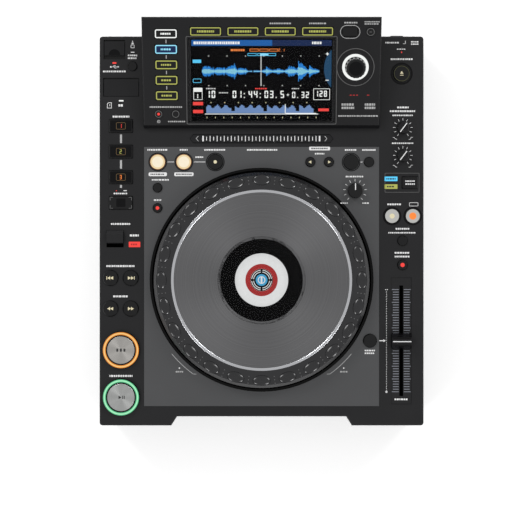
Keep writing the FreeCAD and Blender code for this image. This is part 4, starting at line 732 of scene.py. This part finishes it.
def dress_fader():
    """Scale beside the slot, dotted range line, and ribs and a line on the cap."""
    cap = centre_of("fader_cap")
    scale_x = 119.6
    floor = level(DECK_TOP - 0.6)
    long_side, first, last, count = 6.6, -63.3, -161.2, 41
    marks = []
    for number in range(count):
        y = first + (last - first) * number / (count - 1)
        width = long_side if number % 5 == 0 else 5.6
        for side in (-1, 1):
            marks.append(slab(cap.x + side * (2.4 + width / 2), y, width, 0.7))
    printed("fader_scale", marks, "deck", "scale_line", floor)
    dots = [slab(scale_x, first + (last - first) * number / 60, 0.7, 0.5) for number in range(61)]
    middle = (first + last) / 2
    dots += [slab(114.6, middle, 3.6, 0.9), triangle(117.4, middle, 1.5, 0), slab(scale_x, first, 2.6, 0.6),
             disc(scale_x, last, 1.0, 16)]
    on_deck("tempo_marks", dots, "print_white")
    mark_key("fader_line", "fader_cap", [slab(0, 0, 17.4, 0.9)], "print_white", thickness=0.05)
    ribs = [slab(0, side * offset, 17.4, 0.5) for side in (-1, 1) for offset in (3.0, 4.4, 5.8)]
    mark_key("fader_ribs", "fader_cap", ribs, "gloss", thickness=0.25)


def dress_plate_print():
    """Labels, boxed labels, key icons and turn arcs on the deck plate."""
    loop_in, loop_out = centre_of("loop_in_button"), centre_of("loop_out_button")
    reloop, mode, slip = centre_of("reloop_button"), centre_of("loop_mode_button"), centre_of("slip_button")
    erase, memory = centre_of("delete_button"), centre_of("memory_button")
    call = centre_of("call_keys")
    adjust, reset = centre_of("jog_adjust_knob"), centre_of("reset_button")
    large_rise, small_rise, box_drop = 11.6, 7.6, 11.8
    rows = ((loop_in.x, loop_in.y + large_rise, 20, 1.5),
            (loop_out.x, loop_out.y + large_rise, 8, 1.5),
            ((loop_out.x + reloop.x) / 2, reloop.y + 4.6, 8, 1.5),
            (reloop.x, reloop.y + large_rise, 21, 1.5),
            (0.5, loop_in.y + large_rise, 29, 1.5),
            (call.x, call.y + 8.0, 9, 1.5),
            (erase.x, erase.y + large_rise, 12, 1.5),
            (memory.x, memory.y + large_rise, 13, 1.5),
            (mode.x + 3, mode.y + small_rise, 17, 1.4),
            (slip.x, slip.y + small_rise, 7, 1.4),
            (adjust.x, adjust.y + 13.6, 18, 1.5),
            (adjust.x - 10.5, adjust.y - 11.8, 7, 1.2),
            (adjust.x + 10.5, adjust.y - 11.8, 7, 1.2))
    labels = label_rows(*rows)
    labels += lines_of_print(reset.x, reset.y - 9.4, 10, rows=2, height=1.4)
    labels += [slab((loop_in.x + loop_out.x) / 2, loop_in.y, 6.5, 0.5),
               slab((loop_out.x + reloop.x) / 2, reloop.y, 11.0, 0.5),
               slab((erase.x + memory.x) / 2 + 1, memory.y, 3.0, 0.5)]
    on_plate("plate_labels", labels, "print_white")
    boxes, box_labels = [], []
    for x, y, box_width, width in ((loop_in.x, loop_in.y - box_drop, 17.5, 14),
                                   (loop_out.x, loop_out.y - box_drop, 18.5, 15),
                                   (call.x, call.y + 13.0, 20.0, 16)):
        boxes.append(slab(x, y, box_width, 3.6, 1.2))
        box_labels += lines_of_print(x, y, width, height=1.3)
    on_plate("plate_boxes", boxes, "print_white")
    printed("box_labels", box_labels, "deck", "plate_ink", level(PLATE_TOP + PRINT_THICKNESS),
            0.05)
    for name, side, pointing in (("call_back_icon", -1, 180), ("call_next_icon", 1, 0)):
        mark_key(name, "call_keys", [triangle(side * 8.9, 0, 1.7, pointing)], "cream")
    arcs, ends = [], []
    arc_radius, label_reach = 111.5, 78.7
    for side, start, end in ((-1, 219.5, 234.0), (1, 320.5, 306.0)):
        arcs.append(stroke(arc_points(JOG.x, JOG.y, arc_radius, start, end, 20), 0.55))
        tip = arc_points(JOG.x, JOG.y, arc_radius, start, end, 1)[1]
        ends.append(stroke([(tip[0] - side * 3.0, tip[1] - 0.2), (tip[0] + side * 0.4, tip[1])], 0.5))
    on_plate("turn_arcs", arcs + ends, "print")
    places = [JOG.x - label_reach, JOG.x + label_reach]
    on_plate("turn_lamps", [disc(x, JOG.y - 84.6, 0.7, 16) for x in places], "print_white")
    on_plate("turn_labels", [dash for x in places for dash in lines_of_print(x, JOG.y - 88.1, 7, height=1.4)],
             "print")


def dress_needle():
    """Ticks along the touch strip, longer at every second place and thick at the ends."""
    ticks = []
    count, first, last = 34, -56.0, 55.5
    middle = centre_of("needle_strip").y
    for number in range(count):
        x = first + (last - first) * number / (count - 1)
        end = number in (0, count - 1)
        ticks.append(slab(x, middle, 1.4 if end else 0.7, 5.2 if number % 2 == 0 or end else 3.6))
    low = top_of("needle_strip")
    printed("needle_ticks", ticks, "deck", "print_white", level(low))
    arrows = [stroke([(side * 60.5, middle + 2.4), (side * 62.6, middle), (side * 60.5, middle - 2.4)], 0.6)
              for side in (-1, 1)]
    printed("needle_arrows", arrows, "deck", "print", level(low))


KEY_RISE = 1.0
SOURCE_KEYS = [(-89.8, 28.7 + 14.655 * step) for step in range(5)]
SOURCE_LIGHTS = ("lime_lit", "lime_lit", "lime_lit", "sky_lit", "white_lit")
MENU_KEYS = [(-52.5 + 35.0 * step, 89.52) for step in range(4)]
MODE_KEYS = ((-97.9, 10.95), (-81.6, 10.95))
TAG_KEY = (102.3, 89.0)


def mark_head_key(name, node, shapes, material, thickness=PRINT_THICKNESS):
    printed(name, shapes, node, material, on_head(KEY_RISE), thickness)


def dress_head_keys():
    """Lit frames on the source and menu keys, and faces on the small ones."""
    for number, ((x, y), light) in enumerate(zip(SOURCE_KEYS, SOURCE_LIGHTS)):
        shapes = [frame_of(x, y, 20.4, 8.2, 1.0, 1.7)] + lines_of_print(x, y, 10, height=1.7)
        mark_head_key(f"source_light_{number}", "source_keys", shapes, light)
    x, y = SOURCE_KEYS[3]
    mark_head_key("source_field", "source_keys", [slab(x, y, 18.2, 6.0, 0.8)], "navy", 0.05)
    for number, (x, y) in enumerate(MENU_KEYS):
        shapes = [frame_of(x, y, 28.8, 7.6, 0.9, 1.5)] + lines_of_print(x, y, 16, height=2.0)
        mark_head_key(f"menu_light_{number}", "menu_keys", shapes, "lime_lit")
    mark_head_key("mode_lamp", "source_keys", [disc(*MODE_KEYS[0], 1.3, 24)], "red_lit")
    faces = [ring(*place, 3.4, 2.9, 32) for place in MODE_KEYS]
    mark_head_key("mode_faces", "source_keys", faces, "print_dim")
    tag = [ring(*TAG_KEY, 3.6, 3.1, 32), slab(*TAG_KEY, 2.4, 0.5)]
    mark_head_key("tag_face", "back_tag_keys", tag, "print_dim")


def dress_head_print():
    """Labels and lamps on the head face, and the rings about the selector."""
    bars = [slab(-89.8, (low[1] + high[1]) / 2, 0.8, 3.2) for low, high in zip(SOURCE_KEYS, SOURCE_KEYS[1:])]
    on_face("source_bars", bars)
    labels = lines_of_print(-90.8, 17.6, 31, height=1.4)
    labels += [frame_of(83.1, 89.0, 18.9, 12.6, 0.55, 6.2)]
    labels += lines_of_print(84.0, 97.6, 13, height=1.4)
    labels += lines_of_print(103.5, 98.4, 14, rows=2, height=1.1, pitch=2.0)
    labels += lines_of_print(17.5, 96.9, 20, height=1.4) + lines_of_print(52.5, 96.9, 16, height=1.4)
    labels += lines_of_print(-80.5, 3.6, 17, height=1.3)
    labels += [ring(-98.0, 3.6, 1.5, 1.0, 24), disc(-98.0, 3.6, 0.4, 12)]
    labels += lines_of_print(82.0, 20.0, 12, rows=2, height=2.2, pitch=3.2)
    labels += lines_of_print(103.0, 20.0, 10, rows=2, height=2.2, pitch=3.2)
    labels += lines_of_print(92.0, 9.0, 38, height=1.4)
    on_face("head_labels", labels)
    lamps = [slab(84.5 + 3.0 * step, 29.0, 1.9, 0.9) for step in range(3)] + [slab(101.0, 29.0, 2.2, 0.9)]
    on_face("head_lamps", lamps, "dial_red")
    on_face("display_frame", [frame_of(0, 42.9, 142.4, 84.0, 0.45, 1.4)], "print_dim")
    for name, outer, inner, steps, material, rise in (("selector_ring", 12.5, 9.95, 72, "white_lit", 0.7),
                                                      ("selector_rim", 17.9, 17.3, 96, "print_dim", 0.75)):
        shapes = [ring(*SELECTOR, outer, inner, steps)]
        printed(name, shapes, "deck", material, on_head(-0.8), rise)
    printed("selector_face", [disc(0, 0, 6.6, 48)], "selector_knob", "gloss",
            on_head(9.5) @ Matrix.Translation((*SELECTOR, 0)), 0.1)


# What the display shows

SCREEN_RIGHT = 66.0
SCREEN_LEVEL = -1.66
SCREEN_LAYER = 0.02


def on_screen(name, shapes, material, layer=1):
    printed(name, shapes, "deck", material, on_head(SCREEN_LEVEL + SCREEN_LAYER * layer),
            SCREEN_LAYER)


def wave_height(step, count):
    """A made-up loudness: slow swells with a sharp beat on top."""
    place = step / count
    swell = 0.45 + 0.3 * math.sin(place * 9.4) + 0.18 * math.sin(place * 23.0 + 1.3)
    beat = 0.5 + 0.5 * math.exp(-6 * ((place * 11) % 1))
    return max(0.08, swell * beat)


def dress_screen():
    """A made-up track view: title bar, wave, beat bars, numbers and an overview."""
    on_screen("title_bar", [slab(-28, 78.4, 76, 5.6)], "blue_lit")
    on_screen("title_bar_right", [slab(38, 78.4, 56, 5.6)], "navy")
    title = lines_of_print(-42, 78.4, 44, height=2.6) + lines_of_print(52, 78.4, 9, height=2.4)
    on_screen("title_text", title, "white_lit", 2)
    maker = random.Random(5)
    rims, cores = [], []
    count = 150
    start, end, middle = -56.0, 55.0, 51.5
    for step in range(count):
        x = start + (end - start) * step / count
        if 0.42 < step / count < 0.44:
            continue
        burst = 0.25 + 0.75 * abs(math.sin(step * 0.21)) ** 0.6
        reach = 13.0 * wave_height(step, count) * burst * maker.uniform(0.75, 1.1)
        rims.append(slab(x, middle, 0.55, 2 * reach))
        cores.append(slab(x, middle, 0.55, reach * 0.9))
    on_screen("wave_outer", rims, "wave_blue")
    on_screen("wave_inner", cores, "sky_lit", 2)
    on_screen("playhead", [slab(-0.5, 52.0, 0.6, 29.0)], "white_lit", 3)
    bars = [frame_of(-7 + 9.2 * step, 71.6, 8.4, 2.6, 0.5, 0.4) for step in range(3)]
    on_screen("phase_upper", bars + lines_of_print(-22, 71.6, 14, height=2.0) + digits("2.1", 16, 70.3, 2.8),
              "orange_lit", 2)
    lower = [frame_of(-9 + 9.2 * step, 67.4, 8.4, 2.6, 0.5, 0.4) for step in range(3)]
    on_screen("phase_lower", lower, "cyan_lit", 2)
    on_screen("phase_fill", [slab(2.5, 67.4, 8.0, 2.2)], "sky_lit", 2)
    on_screen("beat_marks", [triangle(-50 + 17.4 * step, y, 0.7, turn) for step in range(7)
                             for y, turn in ((66.0, 270), (37.8, 90))], "white_lit", 2)
    tags = [slab(-61.0, 61.0, 8.0, 3.2), frame_of(-61.0, 42.5, 8.0, 4.0, 0.5, 1.0)]
    on_screen("side_tags", tags, "cyan_lit", 2)
    row = digits("10", -52.5, 26.0, 7.0, line=0.16) + digits("01:44:03.5", -27.5, 26.0, 7.0, line=0.15)
    row += digits("0.32", 29.0, 26.0, 6.0, line=0.15)
    row += [slab(25.0, 29.0, 2.4, 0.6), slab(25.0, 29.0, 0.6, 2.4)]
    row += [frame_of(-60.4, 30.0, 8.6, 11.6, 0.5, 0.6), slab(-60.4, 33.6, 8.0, 3.4)]
    row += digits("1", -62.4, 25.6, 4.4, line=0.2)
    row += [frame_of(57.0, 29.6, 15.8, 11.0, 0.5, 0.6)] + digits("128", 50.8, 27.2, 5.8, line=0.16)
    on_screen("numbers", row, "white_lit", 2)
    small = lines_of_print(-48, 35.0, 9, height=1.2) + lines_of_print(-36, 31.0, 9, height=1.0)
    small += lines_of_print(32, 35.0, 7, height=1.0)
    on_screen("number_labels", small, "print_white", 2)
    on_screen("quantize_label", lines_of_print(0, 35.0, 12, height=1.2), "red_lit", 2)
    overview = []
    for step in range(90):
        x = -52.0 + 102.0 * step / 90
        loudness = 0.25 if (step // 3) % 9 == 7 else 0.8 + 0.2 * math.sin(step * 0.9)
        reach = 8.4 * loudness * maker.uniform(0.85, 1.0)
        overview.append(slab(x, 11.4 + reach / 2, 1.14, reach))
    on_screen("overview", overview, "slate_lit")
    line = [slab(0, 10.6, 108, 0.7), slab(22.5, 15.6, 0.7, 9.0), slab(37.5, 10.9, 29.0, 1.4)]
    on_screen("overview_line", line, "white_lit", 3)
    on_screen("overview_marks", [slab(-52 + 8.0 * step, 7.2, 0.6, 1.4) for step in range(14)]
              + [triangle(-48 + 13.0 * step, 21.6, 0.8, 270) for step in range(8)], "cream_lit", 2)
    on_screen("red_tags", [slab(-60.4, 20.6, 9.6, 3.2, 0.3), slab(-60.4, 13.0, 9.6, 3.2, 0.3),
                           slab(59.0, 14.6, 10.0, 2.6, 0.3)], "red_lit", 2)
    lens = [[(SCREEN_RIGHT, 72.0)] + arc_points(86.0, 54.0, 27.0, 138, 222, 16) + [(SCREEN_RIGHT, 36.0)]]
    on_screen("zoom_lens", [lens], "lens_blue", 2)
    zoom = [slab(62.0, 68.0, 3.0, 0.8), slab(62.0, 68.0, 0.8, 3.0), slab(62.0, 43.0, 3.0, 0.8)]
    on_screen("zoom_marks", zoom, "white_lit", 3)


# Screws, and the scoop in the USB cover

def dress_hardware():
    """Case screws under the tray and in the rear sheet, and the scoop in the USB cover."""
    tray = node_box("chassis_tray")
    bottom = tray[0].z
    places = [(side * (tray[1].x - 14), y) for side in (-1, 1) for y in (-150.0, -40.0, 70.0, 165.0)]
    head = [(0.01, bottom - 0.9), (1.0, bottom - 0.9), (1.0, bottom - 1.3), (2.4, bottom - 1.2),
            (3.0, bottom - 0.6), (3.0, bottom)]
    for number, place in enumerate(places):
        lathe(f"tray_screw_{number}", head, place, "deck", "screw", steps=24)
    rear = node_box("rear_panel")[1].y
    turn = Matrix.Translation((0, rear, 0)) @ Matrix.Rotation(-math.pi / 2, 4, "X")
    head = [(0.01, 0.7), (0.8, 0.7), (0.8, 1.0), (2.0, 0.95), (2.6, 0.4), (2.6, 0)]
    for number, (x, z) in enumerate(((-146, 66), (-52, 66), (52, 66), (146, 66), (-146, 18), (146, 18))):
        lathe(f"rear_screw_{number}", head, (x, -z), "deck", "screw", place=turn, steps=24)
    usb = centre_of("usb_cover")
    front = node_box("usb_cover")[0].y
    scoop = arc_points(usb.x, front + 0.4, 5.6, 0, 180, 20)
    printed("usb_scoop", [[scoop]], "usb_cover", "gloss", level(top_of("usb_cover")), OVERPRINT)


dress_left_strip()
dress_pads()
dress_round_keys()
dress_transport()
dress_knobs()
dress_right_strip()
dress_fader()
dress_plate_print()
dress_needle()
dress_head_keys()
dress_head_print()
dress_screen()
dress_hardware()


# Floor, light and camera

FLOOR_REACH = 2500
FLOOR_GLOW = 0.35
WORLD_STRENGTH = 0.5
VIEW_DISTANCE = 1400
VIEW_WIDTH = 498.0
VIEW_CENTRE = (-1.5, -35.0)
AIM = (0.0, 2.3)
SENSOR = 36.0
LAMP_SIZE = 420
LAMP_TARGET = Vector((0, 0, 60))
LAMPS = (("rear_left_light", (-800, 850, 900), 7), ("rear_right_light", (850, 800, 900), 5),
         ("front_left_light", (-850, -850, 900), 4), ("front_right_light", (850, -850, 900), 4))


def make_floor():
    reach = FLOOR_REACH * MM
    mesh = bpy.data.meshes.new("floor")
    mesh.from_pydata([(-reach, -reach, 0), (reach, -reach, 0), (reach, reach, 0), (-reach, reach, 0)], [],
                     [(0, 1, 2, 3)])
    floor = bpy.data.objects.new("floor", mesh)
    bpy.context.scene.collection.objects.link(floor)
    material, tree, shader = new_material("floor_paint")
    cloud = noise(tree, 0.002, 2.0)
    tree.links.new(tint(tree, cloud, (0.9, 0.9, 0.9), (0.94, 0.94, 0.94)), shader.inputs["Base Color"])
    shader.inputs["Roughness"].default_value = 0.9
    light_path = add_node(tree, "ShaderNodeLightPath")
    seen = light_path.outputs["Is Camera Ray"]
    for kind in ("Is Glossy Ray", "Is Transmission Ray"):
        either = add_node(tree, "ShaderNodeMath", operation="MAXIMUM")
        tree.links.new(seen, either.inputs[0])
        tree.links.new(light_path.outputs[kind], either.inputs[1])
        seen = either.outputs["Value"]
    glow = add_node(tree, "ShaderNodeMath", operation="MULTIPLY")
    glow.inputs[1].default_value = FLOOR_GLOW
    tree.links.new(seen, glow.inputs[0])
    shader.inputs["Emission Color"].default_value = (1, 1, 1, 1)
    tree.links.new(glow.outputs["Value"], shader.inputs["Emission Strength"])
    mesh.materials.append(material)


def soft_light(name, place, power):
    data = bpy.data.lights.new(name, "AREA")
    data.shape = "RECTANGLE"
    data.size = data.size_y = LAMP_SIZE * MM
    data.energy = power
    lamp = bpy.data.objects.new(name, data)
    lamp.location = Vector(place) * MM
    lamp.rotation_euler = (LAMP_TARGET - Vector(place)).to_track_quat("-Z", "Y").to_euler()
    bpy.context.scene.collection.objects.link(lamp)


def make_world():
    world = bpy.data.worlds.new("studio")
    world.use_nodes = True
    tree = world.node_tree
    backdrop = tree.nodes["Background"]
    backdrop.inputs["Strength"].default_value = WORLD_STRENGTH
    backdrop.inputs["Color"].default_value = (1, 1, 1, 1)
    bpy.context.scene.world = world


def make_camera():
    data = bpy.data.cameras.new("camera")
    data.sensor_width = SENSOR
    data.lens = SENSOR * VIEW_DISTANCE / VIEW_WIDTH
    data.shift_x = (VIEW_CENTRE[0] - AIM[0]) / VIEW_WIDTH
    data.shift_y = (VIEW_CENTRE[1] - AIM[1]) / VIEW_WIDTH
    camera = bpy.data.objects.new("camera", data)
    camera.location = Vector((AIM[0], AIM[1], PLATE_TOP + VIEW_DISTANCE)) * MM
    bpy.context.scene.collection.objects.link(camera)
    bpy.context.scene.camera = camera


make_floor()
make_world()
for name, place, power in LAMPS:
    soft_light(name, place, power)
make_camera()
bpy.context.scene.view_settings.view_transform = "Standard"
